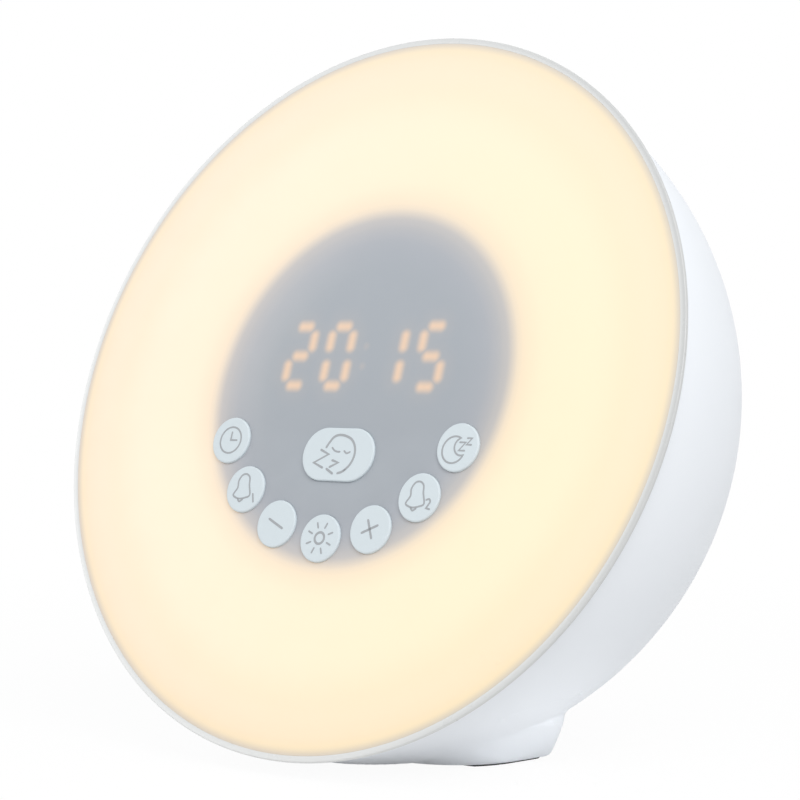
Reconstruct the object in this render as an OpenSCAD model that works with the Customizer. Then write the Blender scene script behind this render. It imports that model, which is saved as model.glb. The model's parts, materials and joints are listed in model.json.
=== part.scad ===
// Sunrise alarm clock: a round glowing face in a bezel ring leans back on a domed shell with a flared foot.
// Face pieces are drawn in the face's own frame: X right, Y up along the face, Z out of it, origin at its
// centre, and their depths are counted backwards from it. The finished part stands on z = 0, facing -Y.

/* [Face] */
// Outer diameter of the bezel ring
face_d = 175; // [168:1:184]
// Lean of the face back from vertical, degrees
tilt = 18.9; // [17:0.1:21]
// Visible width of the bezel ring around the cover
bezel_w = 1.5; // [1.2:0.1:2.2]
// Depth of the bezel ring's outer band
bezel_t = 2.2; // [2:0.1:3]
// Length of the bezel ring's spigot inside the shell's mouth
spigot_l = 5.8; // [4.6:0.1:7]
// Thickness of the milky front cover
cover_t = 2; // [1.8:0.1:2.6]
// Thickness of the cover's rim, which rests on the bezel's ledge
cover_lip_t = 1.1; // [0.8:0.1:1.3]
// Width of the cover's rim
cover_lip_w = 5; // [4:0.1:6.5]

/* [Shell] */
// Step from the bezel ring down to the mouth of the shell
mouth_step = 1.5; // [1.2:0.1:2]
// How much smaller the dome's radius is than the mouth's
dome_taper = 1.2; // [0.8:0.1:2]
// Distance from the face back to the centre of the dome
dome_set = 8.15; // [7.5:0.05:9.5]
// Wall of the shell
shell_wall = 2.4; // [2:0.1:2.8]
// Radius of the flat at the back, behind the speaker
back_flat_r = 26; // [25.6:0.1:28]
// Gap of the parting line between bezel and shell
seam = 0.15; // [0.1:0.05:0.3]
// Radius of the snap bead around the spigot
bead_r = 0.4; // [0.3:0.05:0.5]

/* [Foot] */
// Height of the slice that the sole cuts off the dome's lowest point
sole_cut = 1.64; // [1.2:0.02:2.2]
// Thickness of the rubber pad
pad_t = 0.6; // [0.4:0.1:1]
// Rim of plastic left around the rubber pad
pad_inset = 1.2; // [0.2:0.1:1.6]
// Height at which the foot's sides have run into the dome
foot_h = 10.4; // [9:0.1:12]
// Radius of the foot's front corners at the sole
foot_front_r = 9; // [7:0.1:10]
// Half distance between the front corners' centres at the sole
foot_front_x = 18; // [16:0.1:20]
// Distance of the front corners' centres behind the dome's centre at the sole
foot_front_y = 3.7; // [2:0.1:5]
// Radius of the front corners at the foot's height
foot_brow_r = 8.5; // [7:0.1:9]
// Half distance between the front corners' centres at the foot's height
foot_brow_x = 27.5; // [26:0.1:29]
// Distance of the front corners' centres in front of the dome's centre at the foot's height
foot_brow_y = 16.5; // [15:0.1:18]
// Radius of the rear corners at the sole
foot_side_r = 4.2; // [3.5:0.1:5.5]
// Half distance between the rear corners' centres at the sole
foot_side_x = 30.8; // [30:0.1:32]
// Distance of the rear corners' centres behind the dome's centre at the sole
foot_side_y = 19.8; // [18:0.1:21]
// Radius of the rear corners at the foot's height
foot_hip_r = 10.3; // [9:0.1:12]
// Half distance between the rear corners' centres at the foot's height
foot_hip_x = 34; // [32:0.1:35]
// Distance of the rear corners' centres behind the dome's centre at the foot's height
foot_hip_y = 10.3; // [9:0.1:12]
// Radius of the foot's back edge
foot_back_r = 20; // [18:0.1:22]
// Half distance between the centres of the back edge's corners
foot_back_x = 13.8; // [12:0.1:15]
// Distance of those centres behind the dome's centre
foot_back_y = 13.3; // [12:0.1:14]
// Distance of the centre of the back edge's middle behind the dome's centre
foot_tail_y = 16.3; // [14:0.1:17]
// Small chamfer around the sole
foot_edge = 1.4; // [0.5:0.1:2]

/* [Buttons] */
// Radius of the round button caps
button_r = 5.65; // [5:0.05:6]
// Distance of the round buttons' centres inside the core cup's outside
button_in = 5.6; // [5:0.1:6]
// Distance between neighbouring round buttons' centres
button_space = 14.2; // [14:0.05:14.8]
// Height of the caps above the cover
button_proud = 0.6; // [0.6:0.05:1]
// Travel of every button
button_travel = 0.6; // [0.3:0.05:0.6]
// Rounded edge of the caps
button_edge = 0.4; // [0.2:0.05:0.5]
// Width of the snooze bar
snooze_w = 20.9; // [19:0.1:22]
// Height of the snooze bar
snooze_h = 12.7; // [12:0.1:13]
// Height of the snooze bar's centre below the face's centre
snooze_drop = 16.5; // [16.3:0.1:16.8]
// Gap around each cap in the cover
button_gap = 0.2; // [0.1:0.02:0.3]
// Width of the flange that keeps a cap behind the cover
flange_w = 0.8; // [0.5:0.05:1]
// Thickness of that flange
flange_t = 0.8; // [0.6:0.1:1]
// Radius of the stem under each cap
stem_r = 1.9; // [1.6:0.05:2.2]

/* [Core] */
// Outer radius of the grey core cup
cup_r = 42; // [41.6:0.1:43]
// Wall of the core cup
cup_wall = 1.8; // [1.6:0.1:2]
// Space between the pressed flanges and the cup's plate
cup_gap = 0.4; // [0.3:0.05:0.6]
// Width of the cup's mounting flange
cup_flange_w = 6; // [5.6:0.1:6.5]
// Thickness of the circuit boards
board_t = 1.6; // [1.2:0.1:1.8]
// Height of the tactile switches' bodies
switch_h = 3.5; // [3:0.1:4]
// Width of the tactile switches
switch_w = 6; // [5.8:0.1:6.4]
// Radius of the tactile switches' plungers
plunger_r = 1.7; // [1.5:0.05:1.8]
// How far a plunger stands out of its switch
plunger_out = 1.2; // [1:0.1:1.5]

/* [Display] */
// Width of the display module
display_w = 50.6; // [49:0.1:52]
// Height of the display module
display_h = 19; // [18:0.1:20]
// Height of the display's centre above the face's centre
display_y = 8.1; // [7.6:0.1:8.6]
// Gap between the cover and the segment lenses
display_gap = 0.3; // [0.2:0.05:0.5]
// Distance between the two digits of a pair
digit_pitch = 11.6; // [11.2:0.1:12]
// Distance between the two pairs' middles
pair_pitch = 27.2; // [26.6:0.1:27.8]
// Width of a digit between its segments' middles
digit_w = 6.3; // [6:0.1:6.6]
// Height of a digit between its segments' middles
digit_h = 14.6; // [14:0.1:15]
// Thickness of a segment
segment_t = 1.5; // [1.2:0.05:1.7]
// Gap between neighbouring segments
segment_gap = 0.45; // [0.3:0.05:0.6]
// Radius of the two colon dots
colon_r = 0.7; // [0.5:0.05:0.9]

/* [Light] */
// Depth of the reflector tray
tray_depth = 16; // [14:0.1:18]
// Wall of the reflector tray
tray_wall = 1.6; // [1.4:0.1:2]
// How far the tray's side slopes inwards
tray_slope = 6; // [5:0.1:6.4]
// Radius of the opening in the tray's floor
tray_hole_r = 38; // [37:0.1:39]
// Gap between the core cup's flange and the light board
light_gap = 2; // [1:0.1:3]
// Gap between the light board and the heads of the tray's screws
light_edge_gap = 1.2; // [0.8:0.1:2]
// Number of lamps in each ring of the light board
lamp_count = 24; // [12:12:24]
// Side of a square lamp
lamp_w = 2.8; // [2.4:0.1:3.2]
// Height of a lamp
lamp_h = 1.6; // [1.2:0.1:2]

/* [Speaker] */
// Outer radius of the speaker's frame
speaker_r = 20; // [19:0.1:20.4]
// Depth of the speaker's frame behind its flange
speaker_depth = 8.4; // [7.6:0.1:10]
// Radius of the speaker's magnet
magnet_r = 10.5; // [9:0.1:12]
// Thickness of the speaker's magnet
magnet_t = 7; // [5:0.1:9]
// Thickness of the foam gasket
gasket_t = 1; // [0.6:0.1:1.4]
// Radius of a sound hole
grille_hole_r = 0.9; // [0.7:0.05:1]
// Distance between neighbouring sound holes
grille_pitch = 3.6; // [3.2:0.1:3.8]
// Rings of sound holes around the middle one
grille_rings = 4; // [2:1:4]

/* [Power and battery] */
// Space between the speaker's clamp and the wall around the power socket
jack_room = 0.6; // [0.4:0.1:3]
// Radius of the pocket around the power socket
jack_pocket_r = 6.5; // [6:0.1:7.5]
// Bore radius of the power socket
jack_bore_r = 2.95; // [2.8:0.05:3.1]
// Radius of the power socket's pin
jack_pin_r = 1; // [0.8:0.05:1.2]
// Depth of the power socket's bore
jack_bore_l = 9.5; // [9:0.1:11]
// Distance of the battery bay's centre behind the dome's centre
bay_y = 17.2; // [16.6:0.1:18]
// Radius of the backup battery, a coin cell
cell_r = 10; // [9.6:0.1:10.2]
// Thickness of the coin cell
cell_t = 3.2; // [2.5:0.1:3.4]
// Radius of the battery cap
cap_r = 12.2; // [12:0.1:12.6]
// Turn that frees the battery cap, degrees
cap_turn = 60; // [45:1:70]

/* [Hidden] */
$fn = 96;

// Named clearances
touch_gap = 0.1; // between a resting flange and its stop
slide_gap = 0.3; // around a stem or plunger that slides
hold_gap = 0.15; // around a piece that is fixed in its seat
thread_gap = 0.03; // around a screw's shank in its pilot hole
turn_gap = 0.2; // around a piece that turns in its seat
eps = 0.01; // overcut of open ends
far = 2 * face_d; // larger than the part

// Face and shell
face_r = face_d / 2;
cover_r = face_r - bezel_w - hold_gap / 3;
cover_boss_r = cover_r - cover_lip_w;
ledge_r = cover_boss_r + hold_gap;
mouth_d = bezel_t + seam;
mouth_r = face_r - mouth_step;
dome_r = mouth_r - dome_taper;
spigot_end = bezel_t + spigot_l;
mouth_reach = norm([mouth_r, dome_set - mouth_d]);
mouth_slope = acos(dome_r / mouth_reach) - atan2(dome_set - mouth_d, mouth_r);
spigot_r = wall_r(spigot_end) - hold_gap;
bead_d = spigot_end - 2;
flat_d = dome_set + sqrt(dome_r * dome_r - back_flat_r * back_flat_r);
flat_in_d = flat_d - shell_wall;

// Stance: heights are above the table, and y is counted from the face's centre until face_y is added
dome_y = dome_set * cos(tilt);
stand_h = dome_set * sin(tilt) + dome_r - sole_cut + pad_t;
dome_z = stand_h - dome_set * sin(tilt);
dome_sole_r = sqrt(dome_r * dome_r - pow(dome_r - sole_cut, 2));
flat_angle = asin(back_flat_r / dome_r);
rear_y = dome_y + dome_r * cos(max(0, flat_angle - tilt));
front_y = -face_r * sin(tilt);
face_y = -(rear_y + front_y) / 2;

// Circle of the round buttons and the angle between neighbours
button_ring_r = cup_r - button_in;
button_pitch = 2 * asin(button_space / 2 / button_ring_r);

// Depths of the pieces behind the face
flange_d = cover_t + touch_gap;
plate_d = flange_d + flange_t + button_travel + cup_gap;
display_d = cover_t + display_gap;
lens_t = 0.2;
tray_d = spigot_end;
floor_d = tray_d + tray_depth;
stem_past = 1; // how far the buttons' stems reach past the cup's plate
plunger_d = plate_d + cup_wall + stem_past;
board_d = plunger_d + plunger_out + switch_h;
lamp_board_t = 1.2;

// Radii inside the shell
tray_flange_r = wall_r(tray_d + tray_wall) - 2 * hold_gap;
tray_flange_w = 3.5;
guide_pin_r = 1; // pins that keep the snooze bar level
switch_floor = 0.5;
tray_top_r = tray_flange_r - tray_flange_w;
tray_floor_r = tray_top_r - tray_slope;
board_r = cup_r - cup_wall - 4 * hold_gap;

// Screws: [shank radius, head radius, head height, length under the head]
big_screw = [1.5, 2.8, 1.8, 11];
small_screw = [1, 1.9, 1.4, 5.2];
short_screw = [1, 1.9, 1.4, 3.6];
head_taper = 0.8; // share of its radius that a head keeps at its top
slot_share = 1.1; // length of a head's cross slot, as a share of the head's radius
slot_w = 0.5;
pilot_spare = 1; // how much deeper a blind pilot hole is than its screw
big_boss_r = 4.2;
small_boss_r = 2.5;
clamp_boss_r = 2.3;
tray_boss_r = tray_floor_r - big_screw[1] - 4 * hold_gap;
cup_screw_r = cup_r + cup_flange_w / 2;
clamp_screw_r = speaker_r + clamp_boss_r + touch_gap + turn_gap;
board_boss_ring = board_r - small_boss_r - hold_gap;
board_low_y = -(snooze_drop + button_ring_r) / 2;

// Light board
light_in_r = cup_r + cup_flange_w + light_gap;
light_out_r = tray_boss_r - big_screw[1] - light_edge_gap;
light_w = light_out_r - light_in_r;
light_screw_r = light_out_r - small_boss_r - 0.5;
lamp_rings = [light_in_r + 0.27 * light_w, light_in_r + 0.65 * light_w];

// Speaker, its depths behind the face
speaker_flange_t = 1.2;
speaker_skin = 0.8;
pole_r = 3.6;
pole_l = 2;
cone_t = 0.6;
gasket_w = 3;
clamp_t = 1.6;
clamp_lip = 1; // how far the clamp reaches past the speaker's flange
clamp_grip = 2.4; // how far it reaches over the flange
gasket_d = flat_in_d - gasket_t;
clamp_d = gasket_d - speaker_flange_t;
speaker_base_d = clamp_d - speaker_depth;

// Circles that span the foot's outline: [half distance, distance behind the dome's centre, radius]
foot_back = [[foot_back_x, foot_back_y, foot_back_r], [0, foot_tail_y, foot_back_r]];
foot_low = concat([[foot_front_x, foot_front_y, foot_front_r], [foot_side_x, foot_side_y, foot_side_r]],
    foot_back);
foot_high = concat([[foot_brow_x, -foot_brow_y, foot_brow_r], [foot_hip_x, foot_hip_y, foot_hip_r]],
    foot_back);
foot_sink = 6; // how far the foot's sides go on inside the dome

// Battery bay, heights above the table
sole_z = pad_t;
cap_t = 1.8;
ledge_z = sole_z + 2.2;
ledge_t = 1.2;
groove_h = 1.6;
collar_r = cell_r + 0.1;
lug_r = collar_r + 1.2;
bay_r = collar_r + turn_gap;
cell_z = ledge_z + ledge_t + groove_h + 0.1;
contact_t = 0.5;
contact_w = 4;
tongue_w = 3;
contact_reach = 0.7 * cell_r;
tongue_reach = 0.6 * cell_r;
bay_top_z = cell_z + cell_t + contact_t;
bay_roof = 1.6;
bay_wall = 2;
lug_width = 24; // degrees
entry_spare = 6; // degrees by which the lugs' entries are wider
cap_slot = [15, 1.8, 1.6]; // coin slot in the cap, half of its depth below the cap's face
cap_wall = 1.6;
cell_step = 0.15; // height of the raised face under the coin cell
cell_rim = 1.5; // width of the rim around that face

// Insulated leads inside the clock
wire_r = 0.6;
wire_gap = 0.9;
wire_hole_r = 2.4;
wire_steps = 6;
light_wire_angle = 120;
light_wire_r = light_in_r + 3;
cell_wire_x = 3.5;

// Power socket, y counted from the face's centre
jack_wall = 1.8;
jack_h = stand_h - (speaker_r + clamp_lip) * cos(tilt) - clamp_d * sin(tilt)
    - jack_room - jack_pocket_r - jack_wall;
jack_low = jack_h - jack_pocket_r - dome_z;
jack_sink = 0.8; // depth of the pocket's floor behind the dome's surface at the pocket's lowest point
jack_y = dome_y + sqrt(dome_r * dome_r - jack_low * jack_low) - jack_sink;
jack_floor_t = 2;
jack_pin_in = 1; // how far the pin's tip lies inside the bore
jack_nose_r = 4;
jack_body = [10, 11, 11];
jack_board_w = 27;
jack_board_h = 14;
jack_post_x = 10.4;
jack_board_d = jack_y - jack_floor_t - jack_body[1]; // front of the socket's board

// Parts on the back of the main board: [x, y, width, height, thickness], the first three being the plugs
plug_t = 6;
low_plug_t = 3.6;
board_blocks = [[0, 24, 16, 5.6, plug_t], [0, -17, 11, 5.6, plug_t], [-20, -8, 4.5, 11, low_plug_t],
    [-4, 2, 12, 12, 1.6], [16, 12, 6, 5, 1.5], [-20, 14, 5, 6, 1.5]];
board_can = [18, -8, 4, 8]; // x, y, radius and height of the capacitor
chip_count = 6;
chip_pitch = 5;
chip_start = [-12, -10.5];
chip_size = [2, 1.2, 0.6];
board_back_d = board_d + board_t;

// Routes of the leads, from the main board to the other end, in the face's frame
plug_back = board_back_d + plug_t;
low_plug_back = board_back_d + low_plug_t;
light_end = light_wire_r * [cos(light_wire_angle), sin(light_wire_angle)];
power_end = in_face([0, jack_board_d - board_t - turn_gap, jack_h]);
cell_end = in_face([cell_wire_x, dome_y + bay_y, bay_top_z + touch_gap]);
speaker_route = [[0, -17, -plug_back - turn_gap], [0, -17, -plug_back - 5], [0, -24, -42], [0, -24, -62],
    [0, -17, -74], [0, 6 - speaker_r, 4.2 - clamp_d]];
light_route = [[-3, 24, -plug_back - turn_gap], [-4, 25, -floor_d - 1], [-13, 31, -floor_d - 6],
    [-22, 40, -floor_d - 7], [light_end[0] + 0.5, light_end[1] - 1, -floor_d - 4],
    [light_end[0], light_end[1], -floor_d - touch_gap]];
power_route = [[-20, -8, -low_plug_back - turn_gap], [-20, -8, -low_plug_back - 5], [-19, -14, -34],
    [-12, -25, -48], power_end + [-2, -1.5, 5], power_end];
cell_route = [[9, -24, -board_back_d - touch_gap], [9, -24, -board_back_d - 6], [9, -28, -30], [8, -40, -42],
    cell_end + [1, 6, 2], cell_end];

button_names = ["clock", "alarm_1", "minus", "light", "plus", "alarm_2", "sleep"];
button_count = len(button_names);
switch_spots = concat([for (i = [0:button_count - 1]) button_spot(i)], [[0, -snooze_drop]]);
board_bosses = [for (a = [45, 135]) board_boss_ring * [cos(a), sin(a)], [0, board_low_y]];

// Segments of a digit in the order top, upper right, lower right, bottom, lower left, upper left, middle
shown_digits = [2, 0, 1, 5];
digit_segments = [
    [1, 1, 1, 1, 1, 1, 0], [0, 1, 1, 0, 0, 0, 0], [1, 1, 0, 1, 1, 0, 1], [1, 1, 1, 1, 0, 0, 1],
    [0, 1, 1, 0, 0, 1, 1], [1, 0, 1, 1, 0, 1, 1], [1, 0, 1, 1, 1, 1, 1], [1, 1, 1, 0, 0, 0, 0],
    [1, 1, 1, 1, 1, 1, 1], [1, 1, 1, 1, 0, 1, 1]];
digit_x = [for (pair = [-1, 1], side = [-1, 1]) pair * pair_pitch / 2 + side * digit_pitch / 2];

// Inner radius of the shell's conical mouth at a depth behind the face
function wall_r(d) = mouth_r - shell_wall / cos(mouth_slope) - (d - mouth_d) * tan(mouth_slope);

// Centre of round button i, from the clock button on the left to the sleep button on the right
function button_spot(i) = let (a = 270 + (i - (button_count - 1) / 2) * button_pitch)
    button_ring_r * [cos(a), sin(a)];

// Sides on which a stadium has a round end: one in the middle when it is a plain disc
function ends(w, h) = w > h ? [-1, 1] : [0];

function unit(v) = v / norm(v);

// A point of the face's frame given by its upright place: y from the face's centre and z from the table
function in_face(p) = let (z = p[2] - stand_h)
    [p[0], p[1] * sin(tilt) + z * cos(tilt), z * sin(tilt) - p[1] * cos(tilt)];

// Point at t on the smooth stretch from b to c, with a before it and d after it
function smooth_point(a, b, c, d, t) =
    (2 * b + (c - a) * t + (2 * a - 5 * b + 4 * c - d) * t * t + (3 * b - a - 3 * c + d) * t * t * t) / 2;

// A smooth route through a wire's points
function smooth_route(p) = let (last = len(p) - 1) concat(
    [for (i = [0:last - 1], j = [0:wire_steps - 1])
        smooth_point(p[max(i - 1, 0)], p[i], p[i + 1], p[min(i + 2, last)], j / wire_steps)],
    [p[last]]);

// ---- Frames and shared shapes ----

// Places children drawn in the face's frame
module face_frame() {
    translate([0, face_y, stand_h]) rotate([90 - tilt, 0, 0]) children();
}

// Places children drawn upright, with y counted from the face's centre and z from the table
module upright() {
    translate([0, face_y, 0]) children();
}

// Extrudes a face-plane outline between two depths behind the face
module layer(front, back) {
    translate([0, 0, -back]) linear_extrude(back - front) children();
}

module ring_2d(outer, inner) {
    difference() {
        circle(outer);
        circle(inner);
    }
}

module stadium_2d(w, h) {
    if (w > h) square([w - h, h], center = true);
    for (s = ends(w, h)) translate([s * (w - h) / 2, 0]) circle(h / 2);
}

// Repeats children around the face's axis
module around(count, r, start = 0) {
    for (i = [0:count - 1]) rotate(start + i * 360 / count) translate([r, 0, 0]) children();
}

// Half section of the dome, its outside moved inwards by inset, between a front and a back depth
module dome_half_2d(inset, front, back) {
    r = dome_r - inset;
    front_r = mouth_r - inset / cos(mouth_slope) - (front - mouth_d) * tan(mouth_slope);
    tangent = [r * cos(mouth_slope), -dome_set - r * sin(mouth_slope)];
    intersection() {
        union() {
            translate([0, -dome_set]) circle(r, $fn = 180);
            polygon([[0, -front], [front_r, -front], tangent, [0, tangent[1]]]);
        }
        translate([0, -back]) square([far, back - front]);
    }
}

module dome_solid(inset, front, back) {
    rotate_extrude($fn = 180) dome_half_2d(inset, front, back);
}

// A pan-head screw with its head resting on z = 0 and its shank pointing to -Z
module screw(spec) {
    translate([0, 0, -spec[3]]) cylinder(h = spec[3] + eps, r = spec[0], $fn = 24);
    difference() {
        cylinder(h = spec[2], r1 = spec[1], r2 = spec[1] * head_taper, $fn = 32);
        for (a = [0, 90])
            rotate(a) translate([0, 0, spec[2]]) cube([spec[1] * slot_share, slot_w, spec[2]], center = true);
    }
}

// A round wire swept along a route that never runs along X
module wire(route) {
    sides = 8;
    path = smooth_route(route);
    last = len(path) - 1;
    points = [for (i = [0:last], k = [0:sides - 1])
        let (ahead = unit(path[min(i + 1, last)] - path[max(i - 1, 0)]),
            across = unit(cross(ahead, [1, 0, 0])),
            up = cross(ahead, across),
            a = 360 * k / sides)
        path[i] + wire_r * (cos(a) * across + sin(a) * up)];
    walls = [for (i = [0:last - 1], k = [0:sides - 1]) let (n = (k + 1) % sides)
        [i * sides + k, i * sides + n, (i + 1) * sides + n, (i + 1) * sides + k]];
    caps = [[for (k = [sides - 1:-1:0]) k], [for (k = [0:sides - 1]) last * sides + k]];
    polyhedron(points, concat(walls, caps), convexity = 6);
}

// A pair of wires side by side, apart in one direction
module wire_pair(route, apart = [1, 0, 0]) {
    for (s = [-1, 1]) wire([for (p = route) p + s * wire_gap * apart]);
}

// ---- Face ----

module front_cover() {
    color([0.99, 0.95, 0.85]) face_frame() difference() {
        union() {
            layer(0, cover_lip_t) circle(cover_r, $fn = 180);
            layer(0, cover_t) circle(cover_boss_r, $fn = 180);
        }
        layer(-eps, cover_t + eps) {
            for (i = [0:button_count - 1])
                translate(button_spot(i)) circle(button_r + button_gap, $fn = 48);
            translate([0, -snooze_drop]) stadium_2d(snooze_w + 2 * button_gap, snooze_h + 2 * button_gap);
        }
    }
}

module bezel_ring() {
    color([0.88, 0.89, 0.91]) face_frame() union() {
        layer(0, bezel_t) ring_2d(face_r, face_r - bezel_w, $fn = 180);
        layer(cover_lip_t, bezel_t) ring_2d(face_r - bezel_w / 2, ledge_r, $fn = 180);
        layer(bezel_t - eps, spigot_end) ring_2d(spigot_r, ledge_r, $fn = 180);
        rotate_extrude($fn = 180) translate([spigot_r, -bead_d]) circle(bead_r, $fn = 24);
    }
}

// Cap of one button: a disc or bar with a rounded front edge, a flange behind the cover and a stem
module cap_front(w, h) {
    r = h / 2;
    e = button_edge;
    module half() {
        translate([0, -flange_d]) square([r, flange_d + button_proud - e]);
        translate([0, -flange_d]) square([r - e, flange_d + button_proud]);
        translate([r - e, button_proud - e]) circle(e, $fn = 24);
    }
    for (s = ends(w, h)) translate([s * (w - h) / 2, 0, 0]) rotate_extrude($fn = 64) half();
    if (w > h) rotate([90, 0, 90]) translate([0, 0, -(w - h) / 2]) linear_extrude(w - h) {
        half();
        mirror([1, 0]) half();
    }
}

module button_at(spot, w, h) {
    color([0.87, 0.9, 0.92]) face_frame() translate(spot) {
        cap_front(w, h);
        layer(flange_d, flange_d + flange_t) stadium_2d(w + 2 * flange_w, h + 2 * flange_w, $fn = 48);
        layer(flange_d + flange_t - eps, plunger_d) circle(stem_r, $fn = 32);
        if (w > h) for (s = [-1, 1]) translate([s * w / 3, 0])
            layer(flange_d + flange_t - eps, plunger_d) circle(guide_pin_r, $fn = 24);
    }
}

module round_button(i) {
    button_at(button_spot(i), 2 * button_r, 2 * button_r);
}

module snooze_button() {
    button_at([0, -snooze_drop], snooze_w, snooze_h);
}

module plunger_at(spot) {
    color([0.15, 0.15, 0.16]) face_frame() translate(spot)
        layer(plunger_d, plunger_d + plunger_out + switch_h / 3) circle(plunger_r, $fn = 32);
}

// ---- Core ----

module core_cup() {
    hole_r = stem_r + slide_gap;
    color([0.66, 0.68, 0.71]) face_frame() difference() {
        union() {
            layer(plate_d, plate_d + cup_wall) circle(cup_r);
            layer(plate_d, floor_d) ring_2d(cup_r, cup_r - cup_wall);
            layer(floor_d - cup_wall, floor_d) ring_2d(cup_r + cup_flange_w, cup_r - cup_wall);
            for (p = board_bosses) translate(p) layer(plate_d, board_d) circle(small_boss_r, $fn = 32);
        }
        layer(plate_d - eps, plate_d + cup_wall + eps) {
            for (p = switch_spots) translate(p) circle(hole_r, $fn = 32);
            for (s = [-1, 1]) translate([s * snooze_w / 3, -snooze_drop])
                circle(guide_pin_r + slide_gap, $fn = 24);
            translate([0, display_y]) square([display_w, display_h] + 2 * hold_gap * [1, 1], center = true);
        }
        for (p = board_bosses) translate(p)
            layer(board_d - small_screw[3], board_d + eps) circle(small_screw[0] + thread_gap, $fn = 24);
        around(3, cup_screw_r, 90) layer(floor_d - cup_wall - eps, floor_d + eps)
            circle(short_screw[0] + hold_gap, $fn = 24);
    }
}

module main_board() {
    color([0.12, 0.38, 0.22]) face_frame() difference() {
        layer(board_d, board_d + board_t) circle(board_r);
        for (p = board_bosses) translate(p) layer(board_d - eps, board_d + board_t + eps)
            circle(small_screw[0] + hold_gap, $fn = 24);
    }
}

// Parts soldered to the back of the main board
module board_parts() {
    back = board_back_d;
    color([0.1, 0.1, 0.11]) face_frame() {
        for (b = board_blocks) translate([b[0], b[1]])
            layer(back, back + b[4]) square([b[2], b[3]], center = true);
        translate([board_can[0], board_can[1]]) layer(back, back + board_can[3])
            circle(board_can[2], $fn = 32);
        for (i = [0:chip_count - 1]) translate([chip_start[0] + chip_pitch * i, chip_start[1]])
            layer(back, back + chip_size[2]) square([chip_size[0], chip_size[1]], center = true);
    }
}

module switch_bodies() {
    color([0.2, 0.2, 0.21]) face_frame() for (p = switch_spots)
        translate(p) rotate(atan2(p[1], p[0])) difference() {
            layer(board_d - switch_h, board_d) square(switch_w, center = true);
            layer(board_d - switch_h - eps, board_d - switch_floor)
                circle(plunger_r + slide_gap / 2, $fn = 32);
        }
}

// ---- Display ----

// A bar with pointed ends along X
module segment_2d(l) {
    t = segment_t / 2;
    polygon([[-l / 2, 0], [-l / 2 + t, t], [l / 2 - t, t], [l / 2, 0], [l / 2 - t, -t], [-l / 2 + t, -t]]);
}

// The segments of one digit whose state equals wanted
module digit_2d(number, wanted) {
    across = digit_w - 2 * segment_gap;
    upright = digit_h / 2 - 2 * segment_gap;
    half = [digit_w, digit_h] / 2;
    spots = [[0, half[1], 0], [half[0], half[1] / 2, 90], [half[0], -half[1] / 2, 90], [0, -half[1], 0],
        [-half[0], -half[1] / 2, 90], [-half[0], half[1] / 2, 90], [0, 0, 0]];
    for (k = [0:6]) if (digit_segments[number][k] == wanted)
        translate([spots[k][0], spots[k][1]]) rotate(spots[k][2])
            segment_2d(spots[k][2] == 0 ? across : upright);
}

module segments(wanted) {
    face_frame() translate([0, display_y]) layer(display_d, display_d + lens_t) {
        for (i = [0:3]) translate([digit_x[i], 0]) digit_2d(shown_digits[i], wanted);
        if (wanted == 1) for (s = [-1, 1]) translate([0, s * digit_h / 6]) circle(colon_r, $fn = 24);
    }
}

module segments_lit() {
    color([1, 0.72, 0.45]) segments(1);
}

module segments_dark() {
    color([0.6, 0.6, 0.6]) segments(0);
}

module display_module() {
    color([0.35, 0.36, 0.38]) face_frame() translate([0, display_y])
        layer(display_d + lens_t, board_d) square([display_w, display_h], center = true);
}

// ---- Light ----

module reflector_tray() {
    color([0.97, 0.97, 0.96]) face_frame() difference() {
        union() {
            rotate_extrude($fn = 180) polygon([[tray_hole_r, -floor_d], [tray_floor_r, -floor_d],
                [tray_top_r, -tray_d], [tray_flange_r, -tray_d], [tray_flange_r, -tray_d - tray_wall],
                [tray_top_r + tray_wall, -tray_d - tray_wall],
                [tray_floor_r + tray_wall, -floor_d - tray_wall], [tray_hole_r, -floor_d - tray_wall]]);
            around(3, cup_screw_r, 90) tray_boss();
            around(3, light_screw_r, 30) tray_boss();
        }
        around(3, cup_screw_r, 90) layer(floor_d - eps, floor_d + short_screw[3] + eps)
            circle(short_screw[0] + thread_gap, $fn = 24);
        around(3, light_screw_r, 30) layer(floor_d - eps, floor_d + short_screw[3] + eps)
            circle(short_screw[0] + thread_gap, $fn = 24);
        around(4, tray_boss_r, 45) layer(floor_d - eps, floor_d + tray_wall + eps)
            circle(big_screw[0] + hold_gap, $fn = 32);
        rotate(light_wire_angle) translate([light_wire_r, 0, 0])
            layer(floor_d - eps, floor_d + tray_wall + eps) circle(wire_hole_r, $fn = 32);
    }
}

// A boss behind the tray's floor, for a screw that comes from the front
module tray_boss() {
    layer(floor_d, floor_d + short_screw[3]) circle(small_boss_r, $fn = 32);
}

module light_board() {
    color([0.93, 0.93, 0.9]) face_frame() difference() {
        layer(floor_d - lamp_board_t, floor_d) ring_2d(light_out_r, light_in_r);
        around(3, light_screw_r, 30) layer(floor_d - lamp_board_t - eps, floor_d + eps)
            circle(short_screw[0] + hold_gap, $fn = 24);
    }
}

module lamps() {
    top = floor_d - lamp_board_t - lamp_h;
    color([1, 0.9, 0.55]) face_frame() for (ring = [0, 1])
        around(lamp_count, lamp_rings[ring], (ring + 0.5) * 180 / lamp_count)
            layer(top, top + lamp_h) square(lamp_w, center = true);
}

// ---- Shell and foot ----

// Outline around pairs of circles, drawn inset by a margin
module foot_2d(circles, margin = 0) {
    translate([0, dome_y]) hull() for (c = circles, s = [-1, 1])
        translate([s * c[0], c[1]]) circle(c[2] - margin, $fn = 64);
}

module foot_block() {
    upright() hull() {
        translate([0, 0, sole_z]) linear_extrude(eps) foot_2d(foot_low, foot_edge);
        translate([0, 0, sole_z + foot_edge]) linear_extrude(eps) foot_2d(foot_low);
        translate([0, 0, foot_h]) linear_extrude(foot_sink) foot_2d(foot_high);
    }
}

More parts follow.
